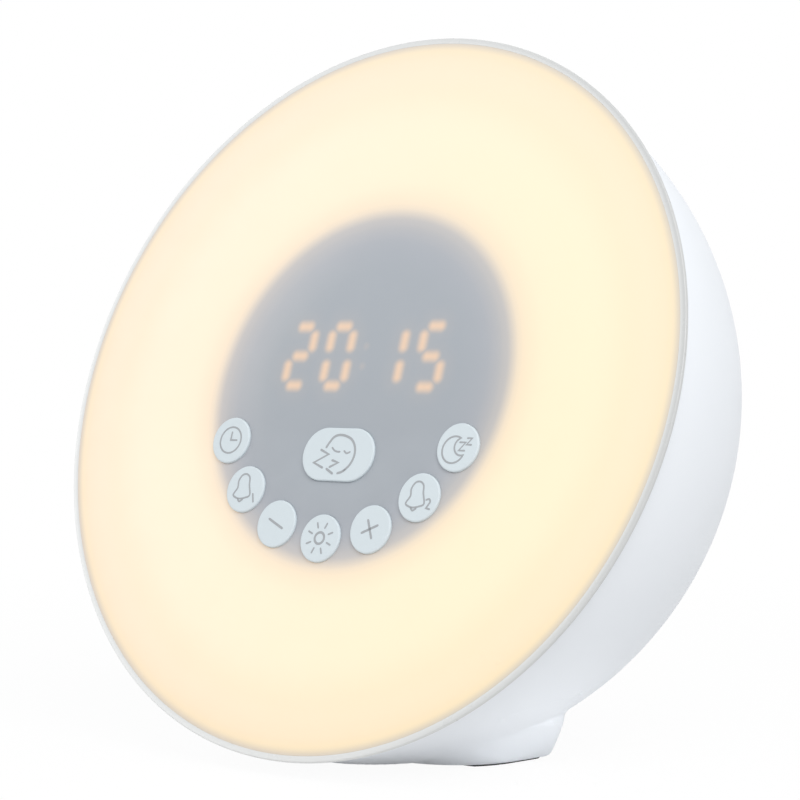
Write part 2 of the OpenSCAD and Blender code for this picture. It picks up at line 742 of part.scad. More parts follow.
// Outside of the shell with its foot, filled
module shell_outside() {
    face_frame() dome_solid(0, mouth_d, flat_d);
    foot_block();
}

// Bosses and walls inside the shell, before they are trimmed to its outside
module shell_fittings() {
    face_frame() {
        around(4, tray_boss_r, 45) layer(floor_d + tray_wall, flat_d) circle(big_boss_r, $fn = 40);
        around(3, clamp_screw_r, 90) layer(clamp_d, flat_d) circle(clamp_boss_r, $fn = 32);
    }
    upright() {
        translate([0, dome_y + bay_y, sole_z])
            cylinder(h = bay_top_z + bay_roof - sole_z, r = cap_r + bay_wall);
        translate([0, jack_y - jack_floor_t, jack_h]) rotate([-90, 0, 0])
            cylinder(h = dome_r / 3, r = jack_pocket_r + jack_wall);
        for (s = [-1, 1]) translate([s * jack_post_x, jack_board_d, jack_h])
            rotate([-90, 0, 0]) cylinder(h = dome_r / 3, r = small_boss_r, $fn = 32);
    }
}

// Openings and screw holes cut through the shell and its bosses
module shell_cuts() {
    face_frame() {
        layer(flat_in_d - eps, flat_d + eps) {
            circle(grille_hole_r, $fn = 24);
            for (ring = [1:grille_rings])
                around(6 * ring, grille_pitch * ring) circle(grille_hole_r, $fn = 24);
        }
        around(4, tray_boss_r, 45) layer(floor_d + tray_wall - eps, floor_d + big_screw[3] + pilot_spare)
            circle(big_screw[0] + thread_gap, $fn = 32);
        around(3, clamp_screw_r, 90) layer(clamp_d - eps, flat_in_d + pilot_spare)
            circle(small_screw[0] + thread_gap, $fn = 24);
        rotate_extrude($fn = 180) translate([spigot_r, -bead_d]) circle(bead_r + hold_gap, $fn = 24);
    }
    upright() {
        translate([0, jack_y, jack_h]) rotate([-90, 0, 0]) cylinder(h = dome_r, r = jack_pocket_r);
        translate([0, jack_y - jack_floor_t - eps, jack_h]) rotate([-90, 0, 0])
            cylinder(h = dome_r, r = jack_nose_r + hold_gap, $fn = 48);
        for (s = [-1, 1]) translate([s * jack_post_x, jack_board_d - eps, jack_h])
            rotate([-90, 0, 0]) cylinder(h = small_screw[3], r = small_screw[0] + thread_gap, $fn = 24);
        translate([0, dome_y + bay_y, 0]) bay_cut();
        translate([cell_wire_x, dome_y + bay_y, bay_top_z - eps])
            cylinder(h = shell_wall, r = wire_gap + 2 * wire_r, $fn = 32);
    }
}

// Hollow of the battery bay: recess for the cap, groove for its lugs with two entries, and the cell's well
module bay_cut() {
    translate([0, 0, -eps]) cylinder(h = ledge_z + eps, r = cap_r + turn_gap);
    translate([0, 0, ledge_z - eps]) cylinder(h = bay_top_z - ledge_z + eps, r = bay_r);
    translate([0, 0, ledge_z + ledge_t]) cylinder(h = groove_h, r = lug_r + turn_gap);
    rotate(cap_turn) lugs(lug_r + turn_gap, lug_width + entry_spare, ledge_z - eps, ledge_t + groove_h);
}

// Two opposite sectors out to a radius, between a height and a height above it
module lugs(r, width, z, h) {
    translate([0, 0, z]) linear_extrude(h) intersection() {
        circle(r);
        for (a = [0, 180]) rotate(a)
            polygon([[0, 0], [2 * r, -2 * r * tan(width / 2)], [2 * r, 2 * r * tan(width / 2)]]);
    }
}

module rear_shell() {
    color([0.9, 0.91, 0.93]) difference() {
        union() {
            difference() {
                shell_outside();
                intersection() {
                    face_frame() dome_solid(shell_wall, mouth_d - eps, flat_in_d);
                    translate([-far / 2, -far / 2, sole_z + shell_wall]) cube(far);
                }
            }
            intersection() {
                shell_fittings();
                face_frame() dome_solid(shell_wall / 2, mouth_d, flat_d - shell_wall / 2);
                translate([-far / 2, -far / 2, sole_z + shell_wall / 2]) cube(far);
            }
        }
        shell_cuts();
        translate([-far / 2, -far / 2, sole_z - far]) cube(far);
    }
}

module foot_pad() {
    color([0.3, 0.3, 0.29]) upright() linear_extrude(pad_t) difference() {
        foot_2d(foot_low, foot_edge + pad_inset);
        translate([0, dome_y + bay_y]) circle(cap_r + 3 * turn_gap);
    }
}

// ---- Speaker ----

module speaker_frame() {
    rim = speaker_r - 3.4;
    base = speaker_base_d;
    skin = speaker_skin;
    neck = magnet_r - 0.5;
    hole_r = 4;
    color([0.25, 0.25, 0.27]) face_frame() rotate_extrude() polygon([[rim - skin, -gasket_d],
        [speaker_r, -gasket_d], [speaker_r, -clamp_d], [rim, -clamp_d], [neck, -base - skin], [neck, -base],
        [hole_r, -base], [hole_r, -base - skin], [neck - 1.1, -base - skin], [rim - skin, -clamp_d + 0.2]]);
}

module speaker_magnet() {
    base = speaker_base_d;
    color([0.12, 0.12, 0.13]) face_frame() {
        layer(base - magnet_t, base) circle(magnet_r);
        layer(base - eps, base + pole_l) circle(pole_r, $fn = 40);
    }
}

module speaker_cone() {
    edge = gasket_d - 0.3;
    rim = speaker_r - 4.5;
    neck = 4.4;
    deep = edge - speaker_depth + 2;
    color([0.16, 0.16, 0.17]) face_frame() rotate_extrude() union() {
        polygon([[rim, -edge], [rim, -edge + cone_t], [rim - 1.8, -edge + cone_t], [neck, -deep + cone_t],
            [neck, -deep], [rim - 2, -edge]]);
        translate([0, -deep]) square([neck + 0.3, cone_t]);
    }
}

module speaker_gasket() {
    color([0.1, 0.1, 0.1]) face_frame()
        layer(gasket_d, flat_in_d) ring_2d(speaker_r, speaker_r - gasket_w);
}

module speaker_clamp() {
    color([0.75, 0.76, 0.78]) face_frame() difference() {
        layer(clamp_d - clamp_t, clamp_d) {
            ring_2d(speaker_r + clamp_lip, speaker_r - clamp_grip);
            around(3, clamp_screw_r, 90) circle(clamp_boss_r, $fn = 32);
        }
        around(3, clamp_screw_r, 90) layer(clamp_d - clamp_t - eps, clamp_d + eps)
            circle(small_screw[0] + hold_gap, $fn = 24);
    }
}

// ---- Power socket ----

module power_socket() {
    color([0.08, 0.08, 0.09]) upright() translate([0, jack_y, jack_h]) rotate([-90, 0, 0]) difference() {
        union() {
            translate([0, 0, -jack_floor_t - eps])
                cylinder(h = jack_floor_t + eps, r = jack_nose_r, $fn = 48);
            translate([0, 0, -jack_floor_t - jack_body[1] / 2])
                cube([jack_body[0], jack_body[2], jack_body[1]], center = true);
        }
        translate([0, 0, -jack_bore_l]) cylinder(h = jack_bore_l + eps, r = jack_bore_r, $fn = 48);
    }
}

module socket_pin() {
    color([0.8, 0.8, 0.78]) upright() translate([0, jack_y - jack_bore_l, jack_h]) rotate([-90, 0, 0])
        cylinder(h = jack_bore_l - jack_pin_in, r = jack_pin_r, $fn = 32);
}

module socket_board() {
    color([0.12, 0.38, 0.22]) upright() difference() {
        translate([-jack_board_w / 2, jack_board_d - board_t, jack_h - jack_board_h / 2])
            cube([jack_board_w, board_t, jack_board_h]);
        for (s = [-1, 1]) translate([s * jack_post_x, jack_board_d - board_t - eps, jack_h])
            rotate([-90, 0, 0]) cylinder(h = board_t + 2 * eps, r = small_screw[0] + hold_gap, $fn = 24);
    }
}

// ---- Battery ----

module coin_cell() {
    color([0.75, 0.75, 0.74]) upright() translate([0, dome_y + bay_y, cell_z]) union() {
        cylinder(h = cell_t, r = cell_r);
        translate([0, 0, -cell_step]) cylinder(h = cell_step + eps, r = cell_r - cell_rim);
    }
}

module cell_contact() {
    color([0.8, 0.68, 0.4]) upright() translate([0, dome_y + bay_y, cell_z + cell_t]) {
        translate([-contact_reach, -contact_w / 2, 0]) cube([2 * contact_reach, contact_w, contact_t]);
        translate([-tongue_w / 2, -tongue_reach, 0]) cube([tongue_w, 2 * tongue_reach, contact_t]);
    }
}

module battery_cap() {
    top = ledge_z + ledge_t + groove_h - turn_gap;
    color([0.86, 0.87, 0.89]) upright() translate([0, dome_y + bay_y, 0]) difference() {
        union() {
            translate([0, 0, sole_z]) cylinder(h = cap_t, r = cap_r);
            translate([0, 0, sole_z + cap_t - eps]) cylinder(h = top - sole_z - cap_t + eps, r = collar_r);
            lugs(lug_r, lug_width, ledge_z + ledge_t + turn_gap, groove_h - 2 * turn_gap);
        }
        translate([0, 0, sole_z]) cube(cap_slot, center = true);
        translate([0, 0, sole_z + cap_t]) cylinder(h = top, r = collar_r - cap_wall);
    }
}

// ---- Wires ----

module speaker_wires() {
    color([0.75, 0.1, 0.1]) face_frame() wire_pair(speaker_route);
}

module light_wires() {
    apart = light_wire_angle - 75;
    color([0.9, 0.85, 0.2]) face_frame() wire_pair(light_route, [cos(apart), sin(apart), 0]);
}

module power_wires() {
    color([0.15, 0.15, 0.16]) face_frame() wire_pair(power_route);
}

module cell_wires() {
    color([0.1, 0.1, 0.5]) face_frame() wire_pair(cell_route);
}

// ---- Screws ----

module tray_screws() {
    color([0.7, 0.7, 0.72]) face_frame() around(4, tray_boss_r, 45)
        translate([0, 0, -floor_d]) screw(big_screw);
}

module cup_screws() {
    color([0.7, 0.7, 0.72]) face_frame() around(3, cup_screw_r, 90)
        translate([0, 0, -floor_d + cup_wall]) screw(short_screw);
}

module light_screws() {
    color([0.7, 0.7, 0.72]) face_frame() around(3, light_screw_r, 30)
        translate([0, 0, -floor_d + lamp_board_t]) screw(short_screw);
}

module board_screws() {
    color([0.7, 0.7, 0.72]) face_frame() for (p = board_bosses)
        translate([p[0], p[1], -board_d - board_t]) rotate([180, 0, 0]) screw(small_screw);
}

module clamp_screws() {
    color([0.7, 0.7, 0.72]) face_frame() around(3, clamp_screw_r, 90)
        translate([0, 0, clamp_t - clamp_d]) screw(short_screw);
}

module socket_screws() {
    color([0.7, 0.7, 0.72]) upright() for (s = [-1, 1])
        translate([s * jack_post_x, jack_board_d - board_t, jack_h]) rotate([90, 0, 0]) screw(small_screw);
}

front_cover();
bezel_ring();
rear_shell();
foot_pad();
core_cup();
main_board();
board_parts();
switch_bodies();
display_module();
segments_lit();
segments_dark();
reflector_tray();
light_board();
lamps();
round_button(0);  // button_clock
round_button(1);  // button_alarm_1
round_button(2);  // button_minus
round_button(3);  // button_light
round_button(4);  // button_plus
round_button(5);  // button_alarm_2
round_button(6);  // button_sleep
snooze_button();  // button_snooze
plunger_at(switch_spots[0]);  // plunger_clock
plunger_at(switch_spots[1]);  // plunger_alarm_1
plunger_at(switch_spots[2]);  // plunger_minus
plunger_at(switch_spots[3]);  // plunger_light
plunger_at(switch_spots[4]);  // plunger_plus
plunger_at(switch_spots[5]);  // plunger_alarm_2
plunger_at(switch_spots[6]);  // plunger_sleep
plunger_at(switch_spots[7]);  // plunger_snooze
speaker_frame();
speaker_magnet();
speaker_cone();
speaker_gasket();
speaker_clamp();
power_socket();
socket_pin();
socket_board();
tray_screws();
cup_screws();
board_screws();
light_screws();
clamp_screws();
socket_screws();
coin_cell();
cell_contact();
battery_cap();
speaker_wires();
light_wires();
power_wires();
cell_wires();
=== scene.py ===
"""Looks of the sunrise alarm clock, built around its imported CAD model.

Lengths are millimetres and angles degrees, as in the model's own source, until a mesh is made.
Face points are (x right, y up the face, depth behind it), measured from the face's centre.
Stand points are (x, y behind the face's centre, z above the table).
"""

import json
import math

import bmesh
import bpy
import numpy as np
from mathutils import Matrix, Vector


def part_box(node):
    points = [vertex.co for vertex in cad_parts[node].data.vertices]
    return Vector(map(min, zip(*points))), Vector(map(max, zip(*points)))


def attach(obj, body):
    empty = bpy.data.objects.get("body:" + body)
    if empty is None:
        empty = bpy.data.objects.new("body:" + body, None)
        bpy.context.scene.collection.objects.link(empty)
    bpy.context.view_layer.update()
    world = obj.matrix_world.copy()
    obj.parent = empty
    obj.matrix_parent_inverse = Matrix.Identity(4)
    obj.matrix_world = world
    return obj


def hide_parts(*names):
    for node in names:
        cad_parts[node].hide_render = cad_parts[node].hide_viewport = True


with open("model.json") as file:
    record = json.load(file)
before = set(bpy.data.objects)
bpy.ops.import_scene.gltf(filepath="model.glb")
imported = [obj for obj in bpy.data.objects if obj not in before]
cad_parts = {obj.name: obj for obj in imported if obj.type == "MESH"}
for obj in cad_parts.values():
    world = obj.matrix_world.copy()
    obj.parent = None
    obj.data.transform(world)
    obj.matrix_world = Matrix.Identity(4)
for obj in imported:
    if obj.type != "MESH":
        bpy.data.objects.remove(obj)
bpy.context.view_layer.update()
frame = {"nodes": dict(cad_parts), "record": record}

MM = 0.001
TAU = 2 * math.pi

# ---- Driving dimensions, the same as the model's where no comment says otherwise ----

TILT = math.radians(18.9)
FACE_R = 87.5
BEZEL_W = 1.5
BEZEL_T = 2.2
BEZEL_RIM_T = 0.8  # only here: how deep the rim's outer band is
BEZEL_NECK = 1.2  # only here: how far the rim's back slopes in
SPIGOT_L = 5.8
COVER_T = 2.0
COVER_LIP_W = 5.0
FIT_GAP = 0.15
TURN_GAP = 0.2
MOUTH_STEP = 1.5
DOME_TAPER = 1.2
DOME_SET = 8.15
SHELL_WALL = 2.4
BACK_FLAT_R = 26.0
SOLE_CUT = 1.64
PAD_T = 0.6
PAD_INSET = 0.8  # 1.2 in the model
PAD_FRONT = 15.4  # only here: how far the pad's front edge lies before the battery bay's axis
FOOT_EDGE = 1.4
FOOT_H = 10.4
FOOT_FULLNESS = 0.25  # only here: how much the rear corners' flare bulges
CUP_R = 42.0
BUTTON_R = 5.65
BUTTON_IN = 5.6
BUTTON_SPACE = 14.2
BUTTON_PROUD = 0.6
BUTTON_GAP = 0.05  # 0.2 in the model; the photo shows only a thin line
BUTTON_EDGE = 0.35  # 0.4 in the model
SNOOZE_W = 20.9
SNOOZE_H = 12.7
SNOOZE_DROP = 16.5
FLANGE_W = 0.8
FLANGE_T = 0.8
STEM_R = 1.9
STEM_END = 6.7
DISPLAY_Y = 8.1
DIGIT_PITCH = 11.6
PAIR_PITCH = 27.2
DIGIT_W = 6.3
DIGIT_H = 14.6
GRILLE_HOLE_R = 0.9
GRILLE_PITCH = 3.6
GRILLE_RINGS = 4
JACK_POCKET_R = 6.5
JACK_WALL = 1.8
JACK_FLOOR_T = 2.0
JACK_NOSE_R = 4.15  # with the gap around the nose
BAY_Y = 17.2
BAY_R = 10.3
BAY_TOP_Z = 9.4
BAY_ROOF = 1.6
BAY_WALL = 2.0
LEDGE_Z = 2.8
LEDGE_T = 1.2
GROOVE_R = 11.5
GROOVE_H = 1.6
CAP_R = 12.2

# ---- Derived sizes ----

low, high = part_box("bezel_ring")
CENTRE = np.array([0.0, low.y / MM + FACE_R * math.sin(TILT), high.z / MM - FACE_R * math.cos(TILT)])
STAND_H = CENTRE[2]
MOUTH_D = BEZEL_T + FIT_GAP
MOUTH_R = FACE_R - MOUTH_STEP
DOME_R = MOUTH_R - DOME_TAPER
MOUTH_RISE = DOME_SET - MOUTH_D
MOUTH_SLOPE = math.acos(DOME_R / math.hypot(MOUTH_R, MOUTH_RISE)) - math.atan2(MOUTH_RISE, MOUTH_R)
MOUTH_INNER_R = MOUTH_R - SHELL_WALL / math.cos(MOUTH_SLOPE)
SPIGOT_END = BEZEL_T + SPIGOT_L
FLAT_D = DOME_SET + math.sqrt(DOME_R**2 - BACK_FLAT_R**2)
DOME_Y = DOME_SET * math.cos(TILT)
DOME_Z = STAND_H - DOME_SET * math.sin(TILT)
DOME_CENTRE = np.array([0.0, DOME_Y, DOME_Z])
SOLE_Z = PAD_T
BAY_CENTRE = np.array([0.0, DOME_Y + BAY_Y])
BUTTON_RING_R = CUP_R - BUTTON_IN
BUTTON_PITCH = 2 * math.asin(BUTTON_SPACE / 2 / BUTTON_RING_R)
COVER_R = FACE_R - BEZEL_W - FIT_GAP / 10
SPIGOT_R = MOUTH_INNER_R - (SPIGOT_END - MOUTH_D) * math.tan(MOUTH_SLOPE) - FIT_GAP

RIGHT = np.array([1.0, 0.0, 0.0])
UP = np.array([0.0, math.sin(TILT), math.cos(TILT)])
BACK = np.array([0.0, math.cos(TILT), -math.sin(TILT)])
ROUND_NAMES = ["clock", "alarm_1", "minus", "light", "plus", "alarm_2", "sleep"]


def from_face(points):
    """Turns face points into the frame's coordinates."""
    p = np.asarray(points, float)
    return CENTRE + p[..., :1] * RIGHT + p[..., 1:2] * UP + p[..., 2:3] * BACK


def from_stand(points):
    """Turns stand points into the frame's coordinates."""
    return np.asarray(points, float) + [0.0, CENTRE[1], 0.0]


# ---- Camera ----

CAMERA_AZIMUTH = 38.15
CAMERA_ELEVATION = 1.235
CAMERA_DISTANCE = 553.76
CAMERA_RIGHT = 10.661
CAMERA_UP = -3.111
CAMERA_LENS = 108.0


def bearing(azimuth, elevation):
    """Direction away from the clock: azimuth 0 is straight in front of it, 90 on the picture's right."""
    a, e = math.radians(azimuth), math.radians(elevation)
    return Vector((math.sin(a) * math.cos(e), -math.cos(a) * math.cos(e), math.sin(e)))


def make_camera():
    side, back = bearing(CAMERA_AZIMUTH + 90, 0), bearing(CAMERA_AZIMUTH, CAMERA_ELEVATION)
    up = back.cross(side)
    camera = bpy.data.objects.new("camera", bpy.data.cameras.new("camera"))
    bpy.context.scene.collection.objects.link(camera)
    place = Vector(CENTRE) + CAMERA_DISTANCE * back + CAMERA_RIGHT * side + CAMERA_UP * up
    camera.matrix_world = Matrix.Translation(place * MM) @ Matrix((side, up, back)).transposed().to_4x4()
    camera.data.lens = CAMERA_LENS
    camera.data.sensor_width = 36
    camera.data.clip_start = 0.01
    camera.data.clip_end = 20
    bpy.context.scene.camera = camera


make_camera()

# ---- Materials ----


class Shader:
    """A node material with a Principled surface, and short ways to add nodes to it."""

    def __init__(self, name):
        self.material = bpy.data.materials.get(name) or bpy.data.materials.new(name)
        self.material.use_nodes = True
        self.tree = self.material.node_tree
        self.surface = next(n for n in self.tree.nodes if n.type == "BSDF_PRINCIPLED")

    def node(self, kind, inputs=(), **settings):
        n = self.tree.nodes.new("ShaderNode" + kind)
        for key, value in settings.items():
            setattr(n, key, value)
        for key, value in dict(inputs).items():
            self.set(n.inputs[key], value)
        return n

    def set(self, socket, value):
        if isinstance(value, bpy.types.NodeSocket):
            self.tree.links.new(value, socket)
        else:
            socket.default_value = value

    def put(self, **inputs):
        """Sets inputs of the Principled surface; underscores stand for spaces."""
        for key, value in inputs.items():
            self.set(self.surface.inputs[key.replace("_", " ")], value)

    def math(self, operation, *values):
        n = self.node("Math", operation=operation)
        for socket, value in zip(n.inputs, values):
            self.set(socket, value)
        return n.outputs[0]

    def vector(self, operation, *values):
        n = self.node("VectorMath", operation=operation)
        for socket, value in zip(n.inputs, values):
            self.set(socket, value)
        return n.outputs["Value" if operation in ("LENGTH", "DOT_PRODUCT", "DISTANCE") else "Vector"]

    def smooth_step(self, value, low_end, high_end, low_out=0.0, high_out=1.0):
        inputs = {"Value": value, "From Min": low_end, "From Max": high_end}
        inputs.update({"To Min": low_out, "To Max": high_out})
        return self.node("MapRange", inputs, interpolation_type="SMOOTHSTEP").outputs[0]

    def mix(self, factor, a, b, blend="MIX"):
        n = self.node("Mix", data_type="RGBA", blend_type=blend)
        for socket, value in zip((n.inputs[0], n.inputs[6], n.inputs[7]), (factor, a, b)):
            self.set(socket, value)
        return n.outputs[2]

    def place(self):
        """The object's own coordinates, in metres."""
        return self.node("TexCoord").outputs["Object"]

    def on_face(self):
        """Face points, in millimetres."""
        turned = (math.pi / 2 - TILT, 0.0, 0.0)
        inputs = {"Vector": self.place(), "Location": CENTRE * MM, "Rotation": turned, "Scale": (MM,) * 3}
        return self.node("Mapping", inputs, vector_type="TEXTURE").outputs[0]

    def noise(self, scale, detail=3.0, roughness=0.5, where=None):
        inputs = {"Vector": where or self.place(), "Scale": scale, "Detail": detail, "Roughness": roughness}
        return self.node("TexNoise", inputs).outputs[0]

    def bump(self, height, depth):
        inputs = {"Height": height, "Distance": depth * MM, "Strength": 1.0}
        self.put(Normal=self.node("Bump", inputs).outputs[0])


def rgba(colour):
    return (*colour, 1.0)


def moulded_plastic(name, colour, roughness, grain=0.006, **extra):
    """Satin moulded plastic: a faint cloudiness of colour, uneven gloss and a fine spark-eroded grain."""
    tint, grain_scale = 0.03, 2600.0
    s = Shader(name)
    darker = rgba([c * (1 - tint) for c in colour])
    s.put(Base_Color=s.mix(s.noise(22.0, 2.0), rgba(colour), darker))
    s.put(Roughness=s.smooth_step(s.noise(160.0), 0.3, 0.7, roughness - 0.04, roughness + 0.05))
    s.bump(s.noise(grain_scale, 2.0), grain)
    s.put(**extra)
    return s.material


def metal(name, colour, roughness):
    """Plated or pressed metal with fine streaks and a slight stain."""
    s = Shader(name)
    where = s.node("Mapping", {"Vector": s.place(), "Scale": (1.0, 1.0, 12.0)}).outputs[0]
    streaks = s.noise(700.0, 4.0, 0.6, where)
    s.put(Base_Color=s.mix(s.noise(90.0), rgba(colour), rgba([c * 0.82 for c in colour])), Metallic=1.0)
    s.put(Roughness=s.smooth_step(streaks, 0.25, 0.75, roughness - 0.08, roughness + 0.12))
    s.bump(streaks, 0.004)
    return s.material


def circuit_board(name, mask, copper):
    """Solder resist over copper: paler tracks in a grid of cells, and tinned pads."""
    s = Shader(name)
    cells = s.node("TexVoronoi", {"Vector": s.place(), "Scale": 260.0}, feature="DISTANCE_TO_EDGE")
    track = s.smooth_step(cells.outputs["Distance"], 0.05, 0.11, 1.0, 0.0)
    pads = s.node("TexVoronoi", {"Vector": s.place(), "Scale": 420.0}).outputs["Distance"]
    pad = s.smooth_step(pads, 0.12, 0.16, 1.0, 0.0)
    resist = s.mix(track, rgba(mask), rgba([min(1.0, c * 1.7 + 0.02) for c in mask]))
    s.put(Base_Color=s.mix(pad, resist, rgba(copper)))
    s.put(Roughness=s.mix(pad, rgba([0.45] * 3), rgba([0.3] * 3)))
    s.bump(track, 0.03)
    return s.material


def soft_black(name, colour, scale, depth, roughness=0.85):
    """Rubber, foam, paper cone and wire insulation: a matt skin with a pebbled surface."""
    s = Shader(name)
    cells = s.node("TexVoronoi", {"Vector": s.place(), "Scale": scale}).outputs["Distance"]
    s.put(Base_Color=s.mix(cells, rgba(colour), rgba([min(1.0, c * 1.5 + 0.01) for c in colour])))
    s.put(Roughness=s.smooth_step(s.noise(scale), 0.2, 0.8, roughness - 0.1, roughness + 0.05))
    s.bump(cells, depth)
    return s.material


SHELL_WHITE = (0.90, 0.93, 0.967)
BUTTON_WHITE = (0.685, 0.757, 0.793)
BEZEL_WHITE = (0.74, 0.75, 0.745)
COVER_GREY = (0.388, 0.419, 0.456)
WARM_LIGHT = (0.70, 0.474, 0.214)
DIGIT_LIGHT = (0.44, 0.195, 0.0)

# The warm light through the cover: radius from the disc's middle, share of the light, and of its blue
GLOW_STOPS = [
    (28.0, 0.0, 1.0),
    (36.0, 0.05, 2.0),
    (39.5, 0.165, 1.3),
    (41.5, 0.30, 1.15),
    (43.5, 0.65, 0.95),
    (45.0, 0.81, 0.88),
    (50.0, 0.96, 0.96),
    (60.0, 1.0, 0.985),
    (67.0, 0.98, 0.98),
    (73.0, 0.92, 0.90),
    (79.0, 0.89, 0.90),
    (82.5, 0.85, 0.82),
    (84.5, 0.775, 0.70),
    (86.0, 0.45, 0.95),
]
DISC_SHIFT = (1.45, 0.2, 0.0)  # the cup lies behind the cover, so its shade falls a little to one side
DIGIT_SHIFT = (1.15, -0.7, 0.0)
PAINTED_EDGE_LIGHT = 0.21  # painted highlight and shade: how much lighter the bezel's rounded edge is painted at the left, and darker at the right
PAINTED_SIDE_SHADE = 0.78  # painted shade: share of its colour that the bezel keeps on its side, where a dark shadow line is painted
HALO = (0.05, 0.042, 0.03)  # light that creeps over the upper left of the disc
# Lit segments of each digit: top, upper right, lower right, bottom, lower left, upper left, middle
SEGMENTS = {0: "111111-", 1: "-11----", 2: "11-11-1", 5: "1-11-11"}
SHOWN = [2, 0, 1, 5]
SEGMENT_HALF_W = 1.15  # half of the straight core of a level segment, and of an upright one
SEGMENT_HALF_H = 1.35
SEGMENT_FADE = 2.2  # how far a segment's light fades out, and how far its faint halo goes
SEGMENT_HALO = 6.0
COLON_FADE = 1.6


def lit_segments():
    """Centre and half size of the straight core of each lit segment."""
    across, along = (SEGMENT_HALF_W, 0.0), (0.0, SEGMENT_HALF_H)
    w, h = DIGIT_W / 2, DIGIT_H / 2
    spots = [((0, h), across), ((w, h / 2), along), ((w, -h / 2), along), ((0, -h), across)]
    spots += [((-w, -h / 2), along), ((-w, h / 2), along), ((0, 0), across)]
    starts = [p * PAIR_PITCH / 2 + s * DIGIT_PITCH / 2 for p in (-1, 1) for s in (-1, 1)]
    for digit, start in zip(SHOWN, starts):
        for mark, (spot, half) in zip(SEGMENTS[digit], spots):
            if mark == "1":
                yield (start + spot[0], DISPLAY_Y + spot[1]), half


def glow_ramp(s, radius):
    """Colour of the warm light at a radius."""
    ramp = s.node("ValToRGB")
    ramp.color_ramp.interpolation = "CARDINAL"
    elements = ramp.color_ramp.elements
    while len(elements) < len(GLOW_STOPS):
        elements.new(0.5)
    reach = GLOW_STOPS[-1][0]
    for element, (at, share, blue) in zip(elements, GLOW_STOPS):
        element.position = at / reach
        element.color = rgba([share * c for c in WARM_LIGHT[:2]] + [share * blue * WARM_LIGHT[2]])
    s.set(ramp.inputs[0], s.math("DIVIDE", radius, reach))
    return ramp.outputs[0]


def display_light(s, flat):
    """Soft bars and dots where the lit segments and the colon show through the cover."""
    seen = s.vector("SUBTRACT", flat, DIGIT_SHIFT)
    nearest = None
    for centre, half in lit_segments():
        offset = s.vector("ABSOLUTE", s.vector("SUBTRACT", seen, (*centre, 0.0)))
        beyond = s.vector("MAXIMUM", s.vector("SUBTRACT", offset, (*half, 0.0)), (0.0, 0.0, 0.0))
        distance = s.vector("LENGTH", beyond)
        nearest = distance if nearest is None else s.math("MINIMUM", nearest, distance)
    bars = s.smooth_step(nearest, 0.0, SEGMENT_FADE, 0.93, 0.0)
    light = s.math("ADD", bars, s.smooth_step(nearest, 0.0, SEGMENT_HALO, 0.06, 0.0))
    for end in (-1, 1):
        distance = s.vector("DISTANCE", seen, (0.0, DISPLAY_Y + end * DIGIT_H / 6, 0.0))
        light = s.math("MAXIMUM", light, s.smooth_step(distance, 0.0, COLON_FADE, 0.14, 0.0))
    return light


def milky_cover():
    """The cover: milky plastic that glows where lamps are behind it, grey where the core blocks them,
    with the display's segments showing through as soft bars."""
    s = Shader("milky_cover")
    flat = s.vector("MULTIPLY", s.on_face(), (1.0, 1.0, 0.0))
    radius = s.vector("LENGTH", flat)
    shift = s.vector("MULTIPLY", s.smooth_step(radius, 50.0, 80.0, 1.0, 0.0), DISC_SHIFT)
    from_disc = s.vector("LENGTH", s.vector("SUBTRACT", flat, shift))
    across, upward, _ = s.node("SeparateXYZ", {"Vector": flat}).outputs
    rightness, height = (s.smooth_step(v, -FACE_R, FACE_R) for v in (across, upward))
    cooler_left = s.mix(rightness, (1.0, 1.0, 1.17, 1.0), (1.0, 1.0, 0.86, 1.0))
    glow = s.mix(1.0, glow_ramp(s, from_disc), cooler_left, "MULTIPLY")
    glow = s.mix(1.0, glow, s.smooth_step(upward, -FACE_R, FACE_R, 1.035, 0.975), "MULTIPLY")

    on_left = s.smooth_step(across, -35.0, 5.0, 1.0, 0.0)
    upper_left = s.math("MULTIPLY", on_left, s.smooth_step(upward, -25.0, 5.0))
    within = s.smooth_step(from_disc, 36.0, 44.0, 1.0, 0.0)
    near_edge = s.math("MULTIPLY", s.smooth_step(from_disc, 22.0, 34.0), within)
    halo = s.mix(s.math("MULTIPLY", upper_left, near_edge), (0, 0, 0, 1), rgba(HALO))
    digits = s.mix(display_light(s, flat), (0, 0, 0, 1), rgba(DIGIT_LIGHT))
    glow = s.mix(1.0, s.mix(1.0, glow, halo, "ADD"), digits, "ADD")

    # Painted shade: the cover's grey is a little lighter towards the top and darker towards the bottom
    grey = s.mix(height, rgba([c * 0.97 for c in COVER_GREY]), rgba([c * 1.04 for c in COVER_GREY]))
    cloud = s.mix(s.noise(14.0, 1.0), (1, 1, 1, 1), (0.97, 0.97, 0.97, 1))
    s.put(Base_Color=s.mix(1.0, grey, cloud, "MULTIPLY"))
    s.put(Emission_Color=glow, Emission_Strength=1.0)
    s.put(Roughness=s.smooth_step(s.noise(120.0), 0.3, 0.7, 0.42, 0.5))
    s.bump(s.noise(2200.0, 2.0), 0.004)
    return s.material


